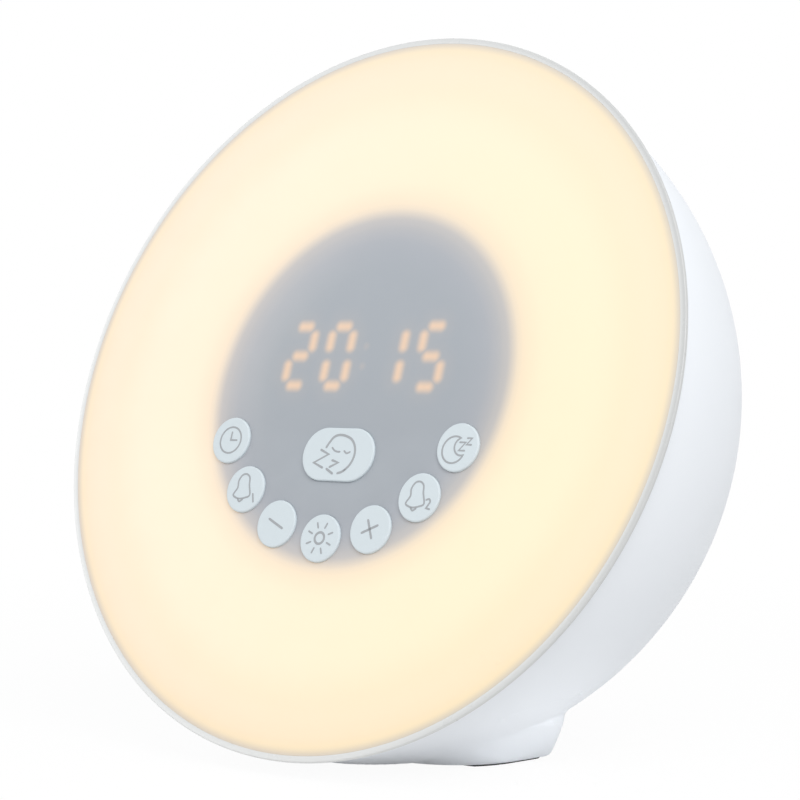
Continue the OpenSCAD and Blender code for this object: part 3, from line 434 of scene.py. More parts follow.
def bezel_plastic_painted_light():
    """The bezel's plastic, with a painted highlight on its rounded edge at the left, painted shade on that
    edge at the right, and painted shade on its side.
    """
    material = moulded_plastic("bezel_plastic_painted_light", BEZEL_WHITE, 0.3, grain=0.003)
    s = Shader(material.name)
    white = s.surface.inputs["Base Color"].links[0].from_socket
    point = s.on_face()
    flat = s.vector("MULTIPLY", point, (1.0, 1.0, 0.0))
    edge = s.smooth_step(s.vector("LENGTH", flat), FACE_R - 1.6, FACE_R - 0.3)
    # Painted highlight and shade: the rounded edge is lightened towards the left and darkened towards the
    # right
    toward = s.vector("DOT_PRODUCT", flat, [PAINTED_EDGE_LIGHT / FACE_R * c for c in (0.96, 0.27, 0.0)])
    depth = s.node("SeparateXYZ", {"Vector": point}).outputs[2]
    # Painted shade: the bezel is darkened on its side, behind its front
    side = s.smooth_step(depth, 0.1, 0.35, 1.0, PAINTED_SIDE_SHADE)
    shade = s.math("MULTIPLY", s.math("SUBTRACT", 1.0, s.math("MULTIPLY", edge, toward)), side)
    s.put(Base_Color=s.mix(1.0, white, shade, "MULTIPLY"))
    return material


# ---- Meshes ----


def new_piece(name, vertices, faces, material, body="clock"):
    """A mesh of points in the frame's coordinates, smooth except where faces meet at a sharp angle."""
    mesh = bpy.data.meshes.new(name)
    mesh.from_pydata((np.asarray(vertices, float) * MM).tolist(), [], faces)
    bm = bmesh.new()
    bm.from_mesh(mesh)
    bmesh.ops.recalc_face_normals(bm, faces=bm.faces)
    bm.to_mesh(mesh)
    bm.free()
    return add_piece(name, mesh, material, body)


def add_piece(name, mesh, material, body="clock", sharp=35.0):
    mesh.shade_smooth()
    mesh.set_sharp_from_angle(angle=math.radians(sharp))
    mesh.materials.clear()
    mesh.materials.append(material)
    piece = bpy.data.objects.new(name, mesh)
    bpy.context.scene.collection.objects.link(piece)
    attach(piece, body)
    return piece


def band(count, first, second):
    """Quads between two rings of vertices that start at these indices."""
    turn = [(k, (k + 1) % count) for k in range(count)]
    return [(first + a, first + b, second + b, second + a) for a, b in turn]


def stack_faces(count, rings, wrap=False):
    """Faces of a stack of rings, closed by flat ends, or back to the first ring if it wraps."""
    faces = [f for i in range(rings - 1) for f in band(count, i * count, (i + 1) * count)]
    last = (rings - 1) * count
    if wrap:
        return faces + band(count, last, 0)
    return faces + [tuple(range(count))[::-1], tuple(last + k for k in range(count))]


def arc(cx, cy, r, start, end, steps):
    """Points of an arc between two angles, in degrees."""
    a = np.radians(np.linspace(start, end, steps))
    return np.stack([cx + r * np.cos(a), cy + r * np.sin(a)], 1)


def rounded(corners):
    """A closed outline of (x, y, radius) points, with each corner replaced by an arc of that radius."""
    steps = 4
    points = []
    count = len(corners)
    for i, (x, y, r) in enumerate(corners):
        here = np.array([x, y])
        if r == 0:
            points.append(here)
            continue
        before = np.array(corners[i - 1][:2]) - here
        after = np.array(corners[(i + 1) % count][:2]) - here
        before, after = before / np.linalg.norm(before), after / np.linalg.norm(after)
        half = math.acos(np.clip(before @ after, -1, 1)) / 2
        middle = (before + after) / np.linalg.norm(before + after)
        centre = here + middle * r / math.sin(half)
        start = here + before * r / math.tan(half) - centre
        end = here + after * r / math.tan(half) - centre
        total = math.acos(np.clip(start @ end / r / r, -1, 1))
        for k in range(steps + 1):
            w = k / steps
            between = math.sin((1 - w) * total) * start + math.sin(w * total) * end
            points.append(centre + between / math.sin(total))
    return np.array(points)


def lathe(profile, count):
    """Face points of rings turned about the face's axis from (radius, depth) points."""
    a = np.arange(count) * TAU / count
    rings = [np.stack([r * np.cos(a), r * np.sin(a), np.full(count, d)], 1) for r, d in profile]
    return np.concatenate(rings)


def stadium(w, h, margin=0.0):
    """Outline of a bar with round ends, or a disc where it is as wide as high, grown by a margin."""
    steps = 24
    r, shift = h / 2 + margin, (w - h) / 2
    if w == h:
        return arc(0, 0, r, 0, 360 - 180 / steps, 2 * steps)
    return np.concatenate([arc(shift, 0, r, -90, 90, steps), arc(-shift, 0, r, 90, 270, steps)])


def fill_plate(bm, loops):
    """Fills the area between loops of vertices."""
    edges = set()
    for loop in loops:
        for k, v in enumerate(loop):
            w = loop[(k + 1) % len(loop)]
            edges.add(bm.edges.get((v, w)) or bm.edges.new((v, w)))
    bmesh.ops.triangle_fill(bm, edges=list(edges), use_beauty=True)


def plate_with_holes(name, outline, holes, front, back, edge, material):
    """A plate between two depths, with rounded edges. Each outline is a function of a margin."""
    bm = bmesh.new()
    quarter = [(edge * (1 - math.cos(a)), edge * (1 - math.sin(a))) for a in np.linspace(0, math.pi / 2, 4)]
    levels = [(inset, front + drop) for inset, drop in reversed(quarter)]
    levels += [(inset, back - drop) for inset, drop in quarter]
    fronts, backs = [], []
    for shape, inward in [(outline, -1)] + [(hole, 1) for hole in holes]:
        rings = []
        for inset, depth in levels:
            flat = shape(inward * inset)
            points = from_face(np.column_stack([flat, np.full(len(flat), depth)])) * MM
            rings.append([bm.verts.new(p) for p in points])
        for a, b in zip(rings, rings[1:]):
            for k in range(len(a)):
                n = (k + 1) % len(a)
                bm.faces.new((a[k], a[n], b[n], b[k]))
        fronts.append(rings[0])
        backs.append(rings[-1])
    fill_plate(bm, fronts)
    fill_plate(bm, backs)
    bmesh.ops.recalc_face_normals(bm, faces=bm.faces)
    mesh = bpy.data.meshes.new(name)
    bm.to_mesh(mesh)
    bm.free()
    return add_piece(name, mesh, material)


def ribbon(path, width, closed=False):
    """Left and right edges of a line of some width along a path, with a rounded look at open ends."""
    p = np.asarray(path, float)
    if closed:
        ahead, behind = np.roll(p, -1, 0) - p, p - np.roll(p, 1, 0)
    else:
        steps = np.diff(p, axis=0)
        ahead, behind = np.concatenate([steps, steps[-1:]]), np.concatenate([steps[:1], steps])
    ahead /= np.linalg.norm(ahead, axis=1, keepdims=True)
    behind /= np.linalg.norm(behind, axis=1, keepdims=True)
    along = ahead + behind
    along /= np.linalg.norm(along, axis=1, keepdims=True)
    square = np.stack([-along[:, 1], along[:, 0]], 1)
    stretch = 1 / np.clip((along * ahead).sum(1, keepdims=True), 0.6, 1)
    half = square * stretch * width / 2
    left, right = p + half, p - half
    if not closed:
        tip, taper = width / 2, 0.45
        first, last = p[0] - behind[0] * tip, p[-1] + ahead[-1] * tip
        left = np.concatenate([[first + taper * half[0]], left, [last + taper * half[-1]]])
        right = np.concatenate([[first - taper * half[0]], right, [last - taper * half[-1]]])
    return left, right


def printed_lines(name, lines, spot, material, body, top, bottom):
    """Raised lines of ink on a cap: each is (path, width, closed) around the cap's centre."""
    vertices, faces = [], []
    for path, width, closed in lines:
        left, right = ribbon(path, width, closed)
        count, base = len(left), sum(len(v) for v in vertices)
        for side, depth in ((left, top), (right, top), (right, bottom), (left, bottom)):
            flat = side + np.asarray(spot)
            vertices.append(from_face(np.column_stack([flat, np.full(count, depth)])))
        for a, b in ((0, 1), (1, 2), (2, 3), (3, 0)):
            for k in range(count if closed else count - 1):
                n = (k + 1) % count
                row_a, row_b = base + a * count, base + b * count
                faces.append((row_a + k, row_a + n, row_b + n, row_b + k))
        if not closed:
            for k in (0, count - 1):
                faces.append(tuple(base + j * count + k for j in range(4)))
    return new_piece(name, np.concatenate(vertices), faces, material, body)


# ---- Cover and bezel ----


def button_spot(index):
    a = -math.pi / 2 + (index - (len(ROUND_NAMES) - 1) / 2) * BUTTON_PITCH
    return BUTTON_RING_R * math.cos(a), BUTTON_RING_R * math.sin(a)


def shifted(shape, spot):
    return lambda margin: shape(margin) + np.asarray(spot)


def make_cover(material):
    edge, count = 0.03, 256

    def outline(margin):
        return arc(0, 0, COVER_R + margin, 0, 360 - 360 / count, count)

    def round_hole(margin):
        return stadium(2 * BUTTON_R, 2 * BUTTON_R, BUTTON_GAP + margin)

    def snooze_hole(margin):
        return stadium(SNOOZE_W, SNOOZE_H, BUTTON_GAP + margin)

    holes = [shifted(round_hole, button_spot(i)) for i in range(len(ROUND_NAMES))]
    holes.append(shifted(snooze_hole, (0, -SNOOZE_DROP)))
    rim = plate_with_holes("cover", outline, holes, 0, COVER_T, edge, material)
    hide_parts("front_cover")


def make_bezel(material):
    """The ring around the cover: its rim, and the spigot inside the shell's mouth."""
    outer, inner = FACE_R - 0.01, FACE_R - BEZEL_W
    ledge = inner - COVER_LIP_W + FIT_GAP
    seat_d = COVER_T + 0.1
    profile = rounded(
        [
            (inner, 0.0, 0.04),
            (outer, 0.0, 0.35),
            (outer, BEZEL_RIM_T, 0.2),
            (FACE_R - BEZEL_NECK, BEZEL_T, 0.2),
            (SPIGOT_R, BEZEL_T, 0.0),
            (SPIGOT_R, SPIGOT_END, 0.3),
            (ledge, SPIGOT_END, 0.3),
            (ledge, seat_d, 0.0),
            (inner, seat_d, 0.0),
        ]
    )
    count = 320
    faces = stack_faces(count, len(profile), wrap=True)
    ring = new_piece("bezel", from_face(lathe(profile, count)), faces, material)
    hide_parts("bezel_ring")


# ---- Shell ----

MOUTH_LIP = 0.15
MOUTH_INNER_LIP = 0.2
BACK_CREASE = 2.5  # how far from its edge the flat back starts to bend into the dome
SOLE_LIFT = 0.3  # how far above the sole the dome's own mesh ends, under the foot's mesh
DOME_SHARP = 24.0


def wall_profile(inset):
    """(radius, depth) points of the dome's outside, moved inwards, from its mouth to its flat back."""
    r = DOME_R - inset
    mouth = MOUTH_R - inset / math.cos(MOUTH_SLOPE)
    flat = FLAT_D - inset
    end = math.degrees(math.asin((flat - DOME_SET) / r))
    curve = arc(0, DOME_SET, r, math.degrees(MOUTH_SLOPE), end, 110)
    return np.concatenate([[[mouth, MOUTH_D]], curve])


def dome_rings():
    """Profile of the shell's dome, from the grille's edge over the outside to the grille's inside."""
    outside, inside = wall_profile(0)[::-1], wall_profile(SHELL_WALL)
    grille = GRILLE_PITCH * (GRILLE_RINGS + 0.5)
    flat = [[grille, FLAT_D], [BACK_FLAT_R - 4, FLAT_D]]
    bent = 5  # how many of the outside's points give way to the crease
    before, corner, after = np.array([BACK_FLAT_R - BACK_CREASE, FLAT_D]), outside[0], outside[bent - 1]
    t = np.linspace(0, 1, 9)[:, None]
    crease = (1 - t) ** 2 * before + 2 * t * (1 - t) * corner + t**2 * after
    outer_lip, inner_lip = (MOUTH_R, MOUTH_D, MOUTH_LIP), (inside[0][0], MOUTH_D, MOUTH_INNER_LIP)
    mouth = rounded([(MOUTH_R + 0.2, MOUTH_D + 2, 0), outer_lip, inner_lip])[1:]
    last = [[grille, FLAT_D - SHELL_WALL]]
    return np.concatenate([flat, crease, outside[bent:-1], mouth, inside[1:], last])


def grille_holes():
    yield 0.0, 0.0
    for ring in range(1, GRILLE_RINGS + 1):
        for k in range(6 * ring):
            a = k * TAU / (6 * ring)
            yield GRILLE_PITCH * ring * math.cos(a), GRILLE_PITCH * ring * math.sin(a)


def make_dome(material):
    """The dome with its sound holes and the pocket of the power socket."""
    count = 320
    profile = dome_rings()
    points = from_face(lathe(profile, count))
    points[:, 2] = np.maximum(points[:, 2], SOLE_Z + SOLE_LIFT)
    bm = bmesh.new()
    verts = [bm.verts.new(p * MM) for p in points]
    bm.verts.index_update()
    for face in stack_faces(count, len(profile), wrap=True)[: count * (len(profile) - 1)]:
        bm.faces.new([verts[i] for i in face])
    hole, chamfer, steps = GRILLE_HOLE_R, 0.2, 20
    outer, inner = [verts[:count]], [verts[-count:]]
    for x, y in grille_holes():
        rings = []
        for r, d in ((hole + chamfer, FLAT_D), (hole, FLAT_D - chamfer), (hole, FLAT_D - SHELL_WALL)):
            flat = arc(x, y, r, 0, 360 - 360 / steps, steps)
            ring = from_face(np.column_stack([flat, np.full(steps, d)])) * MM
            rings.append([bm.verts.new(p) for p in ring])
        for a, b in zip(rings, rings[1:]):
            for k in range(steps):
                bm.faces.new((a[k], a[(k + 1) % steps], b[(k + 1) % steps], b[k]))
        outer.append(rings[0])
        inner.append(rings[-1])
    fill_plate(bm, outer)
    fill_plate(bm, inner)
    bmesh.ops.recalc_face_normals(bm, faces=bm.faces)
    mesh = bpy.data.meshes.new("shell_dome")
    bm.to_mesh(mesh)
    bm.free()
    dome = add_piece("shell_dome", mesh, material, sharp=DOME_SHARP)
    cut_pocket(dome, material)
    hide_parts("rear_shell")


def jack_place():
    """Height of the power socket, and how far its pocket's floor lies behind the face's centre."""
    socket_low, socket_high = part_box("power_socket")
    height = (socket_low.z + socket_high.z) / 2 / MM
    return height, socket_high.y / MM - CENTRE[1]


def about_jack(r, y, count):
    """Stand points of a ring about the socket's axis."""
    a = np.arange(count) * TAU / count
    height = jack_place()[0]
    return np.stack([r * np.cos(a), np.broadcast_to(y, count), height + r * np.sin(a)], 1)


def dome_back(r, inset, count):
    """How far behind the face's centre a ring about the socket's axis meets the dome, less an inset."""
    ring = about_jack(r, 0.0, count) - [0, DOME_Y, DOME_Z]
    return DOME_Y + np.sqrt((DOME_R - inset) ** 2 - ring[:, 0] ** 2 - ring[:, 2] ** 2)


def cut_pocket(dome, material):
    """Cuts the power socket's pocket through the dome and lines it with a wall and a floor."""
    count = 72
    floor = jack_place()[1]
    ends = (floor - 4, floor + 40)  # well past the dome's wall both ways
    long = np.concatenate([about_jack(JACK_POCKET_R, y, count) for y in ends])
    cutter = new_piece("pocket_cutter", from_stand(long), stack_faces(count, 2), material)
    change = dome.modifiers.new("pocket", "BOOLEAN")
    change.operation, change.object, change.solver = "DIFFERENCE", cutter, "EXACT"
    graph = bpy.context.evaluated_depsgraph_get()
    cut = bpy.data.meshes.new_from_object(dome.evaluated_get(graph))
    dome.modifiers.clear()
    dome.data = cut
    cut.shade_smooth()
    cut.set_sharp_from_angle(angle=math.radians(DOME_SHARP))
    bpy.data.objects.remove(cutter)
    play, corner, chamfer = 0.04, 0.4, 0.15
    r, back = JACK_POCKET_R - play, floor - JACK_FLOOR_T
    rings = [
        about_jack(r + JACK_WALL, back, count),
        about_jack(r + JACK_WALL, dome_back(r + JACK_WALL, SHELL_WALL / 2, count), count),
        about_jack(r, dome_back(r, SHELL_WALL / 3, count), count),
        about_jack(r, floor + corner, count),
        about_jack(r - corner, floor, count),
        about_jack(JACK_NOSE_R + chamfer, floor, count),
        about_jack(JACK_NOSE_R, floor - chamfer, count),
        about_jack(JACK_NOSE_R, back, count),
    ]
    faces = stack_faces(count, len(rings), wrap=True)
    liner = new_piece("socket_pocket", from_stand(np.concatenate(rings)), faces, material)


# ---- Foot ----

# Circles that span the foot's outline, as (half distance, distance behind the dome's centre, radius).
# The front corners are sharper than the model's, by about 1 mm.
FOOT_SIDE_LOW = np.array([30.8, 19.8, 4.2])
FOOT_SIDE_HIGH = np.array([34.0, 10.3, 10.3])
FOOT_BACK = [(13.8, 13.3, 20.0), (0.0, 16.3, 20.0)]
FOOT_LOW = [(17.0, 3.7, 9.0), (24.6, 0.6, 1.8), FOOT_SIDE_LOW, *FOOT_BACK]
FOOT_HIGH = [(31.0, -17.3, 5.0), FOOT_SIDE_HIGH, *FOOT_BACK]
DOME_FLAT_R = math.sqrt(DOME_R**2 - (DOME_R - SOLE_CUT) ** 2)
FOOT_BLEND = 1.2
SKIN = 0.02  # how far the foot's blended edge lies over the dome
HEADINGS = np.arange(720) * TAU / 720
HEADING_VECTORS = np.stack([np.cos(HEADINGS), np.sin(HEADINGS)], 1)


def reach(x, y, r):
    """How far a pair of circles, mirrored in x, reaches in each heading from the dome's centre."""
    return np.abs(HEADING_VECTORS[:, 0]) * x + HEADING_VECTORS[:, 1] * y + r


REACH_SOLE = np.max([reach(*c) for c in FOOT_LOW], axis=0)
REACH_TOP = np.max([reach(*c) for c in FOOT_HIGH], axis=0)


def flare(t):
    """Share of the rear corners' flare that is reached at a share of the foot's height."""
    return t * (1 + FOOT_FULLNESS * (1 - t))


def soft_min(a, b, k):
    h = np.clip(0.5 + 0.5 * (b - a) / k, 0, 1)
    return b + (a - b) * h - k * h * (1 - h)


def inside_shell(points):
    """Below zero where stand points lie inside the dome or foot, which blend into each other."""
    local = points - [0.0, DOME_Y, 0.0]
    share = np.clip((points[:, 2:] - SOLE_Z) / (FOOT_H - SOLE_Z), 0, 1)
    side = FOOT_SIDE_LOW + flare(share) * (FOOT_SIDE_HIGH - FOOT_SIDE_LOW)
    side_reach = reach(*(side[:, i : i + 1] for i in range(3)))
    section = np.maximum((1 - share) * REACH_SOLE + share * REACH_TOP, side_reach)
    foot = (local[:, :2] @ HEADING_VECTORS.T - section).max(1)
    dome = np.linalg.norm(points - DOME_CENTRE, axis=1) - DOME_R - SKIN
    return -soft_min(-soft_min(dome, foot, FOOT_BLEND), points[:, 2] - SOLE_Z, FOOT_EDGE)


def across_sole(out, edge=0.0):
    """How far the foot's outline at the sole, drawn in by an edge, lies from the battery bay's axis."""
    toward = out @ HEADING_VECTORS.T
    start = (BAY_CENTRE - [0.0, DOME_Y]) @ HEADING_VECTORS.T
    least = 0.05
    distance = (REACH_SOLE - edge - start) / np.maximum(toward, least)
    return np.where(toward > least, distance, np.inf).min(1)


def across_flat(out):
    """How far the dome's flat bottom reaches from the battery bay's axis."""
    middle = -BAY_Y * out[:, 1]
    return middle + np.sqrt(np.maximum(0.0, middle**2 - BAY_Y**2 + DOME_FLAT_R**2))


def directions_around(count):
    """Level directions, evenly spread, as (x, y)."""
    a = np.arange(count) * TAU / count
    return np.stack([np.cos(a), np.sin(a)], 1)


def cast(origin, directions):
    """Where rays from inside leave the shell, found by halving the range that holds the place."""
    near, far = np.zeros(len(directions)), np.full(len(directions), 140.0)
    for _ in range(26):
        middle = (near + far) / 2
        within = inside_shell(origin + middle[:, None] * directions) < 0
        near, far = np.where(within, middle, near), np.where(within, far, middle)
    return origin + near[:, None] * directions


def make_foot(material):
    """The foot, from the battery bay over the sole and sides until it runs out on the dome, and back."""
    count = 300
    out = directions_around(count)

    def circle(r, z):
        return np.column_stack([BAY_CENTRE + r * out, np.full(count, z)])

    sole = np.maximum(across_sole(out), across_flat(out))

    # Edge of the blend: an oval with full corners around the foot, seen from above
    edge_x, edge_front, edge_back, edge_middle, power = 54.0, 35.0, 37.0, 17.0, 3.0
    near, far = np.zeros(count), np.full(count, 90.0)
    for _ in range(30):
        middle = (near + far) / 2
        spot = BAY_CENTRE + middle[:, None] * out
        y = spot[:, 1] - edge_middle
        edge_y = np.where(y < 0, edge_front, edge_back)
        size = np.abs(spot[:, 0] / edge_x) ** power + np.abs(y / edge_y) ** power
        near, far = np.where(size < 1, middle, near), np.where(size < 1, far, middle)
    rim = BAY_CENTRE + near[:, None] * out
    rim_z = DOME_Z - np.sqrt((DOME_R + SKIN) ** 2 - rim[:, 0] ** 2 - (rim[:, 1] - DOME_Y) ** 2)

    # Rays from inside the dome, from straight over the sole's edge to the edge of the blend
    eye_z = 30.0
    eye = np.array([*BAY_CENTRE, eye_z])
    steep, shallow = np.arctan2(sole, eye_z - SOLE_Z), np.arctan2(near, eye_z - rim_z)
    shares = np.concatenate([np.linspace(-0.05, 0.07, 20), np.linspace(0.085, 1, 62)])
    groove_z, chamfer = LEDGE_Z + LEDGE_T, 0.3
    groove_top, recess_r = groove_z + GROOVE_H, CAP_R + TURN_GAP
    rings = [circle(BAY_R, BAY_TOP_Z), circle(BAY_R, groove_top), circle(GROOVE_R, groove_top)]
    rings += [circle(GROOVE_R, groove_z), circle(BAY_R, groove_z), circle(BAY_R, LEDGE_Z)]
    rings += [circle(recess_r, LEDGE_Z), circle(recess_r, SOLE_Z + chamfer)]
    rings.append(circle(recess_r + chamfer, SOLE_Z))
    for share in shares:
        angle = steep + share * (shallow - steep)
        rays = np.column_stack([np.sin(angle)[:, None] * out, -np.cos(angle)])
        rings.append(cast(eye, rays))
    last_outside = len(rings) - 1

    inner_r, bay_outer_r = DOME_R - SHELL_WALL, CAP_R + BAY_WALL
    for share in np.linspace(1, 0, 16):
        spot = BAY_CENTRE + ((1 - share) * bay_outer_r + share * (near - 0.5))[:, None] * out
        z = DOME_Z - np.sqrt(inner_r**2 - spot[:, 0] ** 2 - (spot[:, 1] - DOME_Y) ** 2)
        rings.append(np.column_stack([spot, np.maximum(z, SOLE_Z + SHELL_WALL)]))
    rings.append(circle(bay_outer_r, BAY_TOP_Z + BAY_ROOF))
    faces = stack_faces(count, len(rings))
    foot = new_piece("shell_foot", from_stand(np.concatenate(rings)), faces, material)
    keep_sharp(foot, last_outside, count)


def keep_sharp(piece, ring, count):
    """Marks one ring's edges sharp, so that the faces before it keep the surface's own direction."""
    first, last = ring * count, (ring + 1) * count
    for edge in piece.data.edges:
        if all(first <= v < last for v in edge.vertices):
            edge.use_edge_sharp = True


def make_pad(material):
    """The rubber pad under the foot, with an opening for the battery cap."""
    count = 200
    out = directions_around(count)
    front = PAD_FRONT / np.maximum(1e-3, -out[:, 1])
    outer = np.minimum(across_sole(out, FOOT_EDGE + PAD_INSET), front)
    hole = np.full(count, CAP_R + 3 * TURN_GAP)
    lip = 0.2
    levels = [(outer, PAD_T), (outer, lip), (outer - lip, 0), (hole + lip, 0), (hole, lip), (hole, PAD_T)]
    rings = [np.column_stack([BAY_CENTRE + r[:, None] * out, np.full(count, z)]) for r, z in levels]
    faces = stack_faces(count, len(rings), wrap=True)
    pad = new_piece("rubber_pad", from_stand(np.concatenate(rings)), faces, material)
    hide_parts("foot_pad")


# ---- Buttons ----


def make_button(name, spot, w, h, material):
    """A cap with a soft front edge, the flange that keeps it behind the cover, and its stem."""
    edge, proud, crown = BUTTON_EDGE, BUTTON_PROUD, 0.01
    flange_d = COVER_T + 0.1
    levels = [(-h / 2 * 0.55, -proud), (-edge * 1.4, -proud + crown)]
    for t in np.linspace(0.15, math.pi / 2, 7):
        levels.append((-edge * (1 - math.sin(t)), -proud + edge * (1 - math.cos(t))))
    levels += [(0, flange_d), (FLANGE_W, flange_d), (FLANGE_W, flange_d + FLANGE_T)]
    outlines = [(stadium(w, h, margin), depth) for margin, depth in levels]
    stem = stadium(2 * STEM_R, 2 * STEM_R)
    outlines += [(stem, flange_d + FLANGE_T), (stem, STEM_END)]
    rings = [np.column_stack([flat + spot, np.full(len(flat), depth)]) for flat, depth in outlines]
    faces = stack_faces(len(stem), len(rings))
    cap = new_piece("cap_" + name, from_face(np.concatenate(rings)), faces, material, name + "_key")
    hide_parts("button_" + name)


def turned(path, degrees):
    a = math.radians(degrees)
    return np.asarray(path, float) @ np.array([[math.cos(a), math.sin(a)], [-math.sin(a), math.cos(a)]])


def moved(path, x, y):
    return np.asarray(path, float) + [x, y]


def curve(points, closed=False):
    """A smooth line through points."""
    p = [np.array(q, float) for q in points]
    count = len(p)
    line = []
    for i in range(count if closed else count - 1):
        if closed:
            a, b, c, d = (p[(i + k) % count] for k in (-1, 0, 1, 2))
        else:
            a, b, c, d = p[max(i - 1, 0)], p[i], p[i + 1], p[min(i + 2, count - 1)]
        for t in np.arange(6) / 6:
            bend = (2 * a - 5 * b + 4 * c - d) * t**2 + (3 * b - a - 3 * c + d) * t**3
            line.append((2 * b + (c - a) * t + bend) / 2)
    return np.array(line if closed else line + [p[-1]])


THIN_LINE = 0.43
THICK_LINE = 0.57
INK_PROUD = 0.03
INK_DEPTH = 0.2


def bell(number):
    """A bell that leans a little, with its clapper and a small numeral at its foot."""
    dome = [(-2.3, 0.2), (-2.4, 1.9), (-1.6, 3.3), (-0.3, 3.6), (0.8, 2.8), (1.15, 1.0)]
    foot = [(1.9, -1.4), (0.6, -2.1), (-0.9, -2.4), (-2.2, -2.2), (-3.2, -1.5)]
    lines = [(curve(dome + foot, True), THIN_LINE, True)]
    lines.append((curve([(-1.5, -2.6), (-0.9, -3.1), (-0.1, -2.6)]), THIN_LINE, False))
    one = [(2.8, -1.1), (3.4, -3.0)]
    two = [*curve([(2.35, -0.5), (3.1, -0.3), (3.5, -0.9), (3.1, -1.7)]), (2.7, -2.4), (3.65, -2.6)]
    lines.append((one if number == 1 else two, THIN_LINE, False))
    return lines


def zed(x, y, size):
    """The letter that stands for a snore."""
    w, h = size * 0.42, size * 0.5
    return moved([(-w, h), (w, h), (-w, -h), (w, -h)], x, y)


def icons():
    """Lines of each button's symbol around the cap's centre."""
    hands = [(0, 1.9), (0, 0), (1.9, 0)]
    clock = [(arc(0, 0, 3.2, 0, 350, 36), THIN_LINE, True), (hands, THIN_LINE, False)]
    bar, stem = [(-2.4, 0), (2.4, 0)], [(0, -2.4), (0, 2.4)]
    minus = [(turned(bar, -25), THICK_LINE, False)]
    plus = [(turned(path, 25) * 0.93, THICK_LINE, False) for path in (bar, stem)]
    sun = [(arc(0, 0, 1.35, 0, 345, 24), THICK_LINE, True)]
    sun += [(turned([(2.6, 0), (3.75, 0)], 22.5 + 45 * k), THIN_LINE, False) for k in range(8)]
    outer = arc(-0.9, -0.6, 3.1, 62, 338, 28)
    horns, span = (outer[0] + outer[-1]) / 2, np.linalg.norm(outer[0] - outer[-1]) / 2
    facing = math.degrees(math.atan2(*(outer[0] - horns)[::-1]))
    inner = horns + arc(0, 0, span, facing + 180, facing, 16)
    moon = [(np.concatenate([outer, inner[1:-1]]), THIN_LINE, True)]
    moon += [(zed(1.3, 0.2, 1.9), THIN_LINE, False), (zed(3.0, 1.4, 1.5), THIN_LINE, False)]
    crown = [(-3.7, 1.6), (-2.1, 4.0), (0.1, 4.6), (3.0, 3.8)]
    cheek = [(4.6, 2.0), (5.0, -0.2), (4.3, -2.3), (3.0, -3.7)]
    chin = [(3.0, -3.7), (2.2, -4.2), (1.2, -4.5)]
    eyes = [[(-1.9, 1.5), (-1.2, 0.9), (-0.3, 0.6), (0.5, 0.6)], [(1.8, 0.8), (2.6, 0.3), (3.5, 0.6)]]
    snore = [[(-5.05, 0.9), (-2.6, -0.1), (-6.5, -2.2), (-3.7, -3.3)]]
    snore += [[(-1.1, -1.5), (0.7, -2.0), (-1.5, -3.1)], [(-2.3, -3.6), (-0.4, -4.6)]]
    snooze = [(curve(path), THICK_LINE, False) for path in (crown + cheek, chin)]
    snooze += [(curve(eye), THIN_LINE, False) for eye in eyes]
    snooze += [(path, THICK_LINE, False) for path in snore]
    return {
        "clock": clock,
        "alarm_1": bell(1),
        "minus": minus,
        "light": sun,
        "plus": plus,
        "alarm_2": bell(2),
        "sleep": moon,
        "snooze": snooze,
    }


def make_buttons(cap_material, ink_material):
    spots = {name: (button_spot(i), 2 * BUTTON_R, 2 * BUTTON_R) for i, name in enumerate(ROUND_NAMES)}
    spots["snooze"] = ((0, -SNOOZE_DROP), SNOOZE_W, SNOOZE_H)
    drawn = icons()
    top, bottom = -BUTTON_PROUD - INK_PROUD, -BUTTON_PROUD + INK_DEPTH
    for name, (spot, w, h) in spots.items():
        make_button(name, spot, w, h, cap_material)
        printed_lines("symbol_" + name, drawn[name], spot, ink_material, name + "_key", top, bottom)


# ---- Finishes of the CAD pieces that stay as they are ----


def finish_cad(finishes):
    """Gives CAD pieces the finish of their slot."""
    slots = {row["node"]: row["material_slot"] for row in frame["record"]["subparts"]}
    for node, piece in frame["nodes"].items():
        if slots[node] in finishes:
            for slot in piece.material_slots:
                slot.material = finishes[slots[node]]


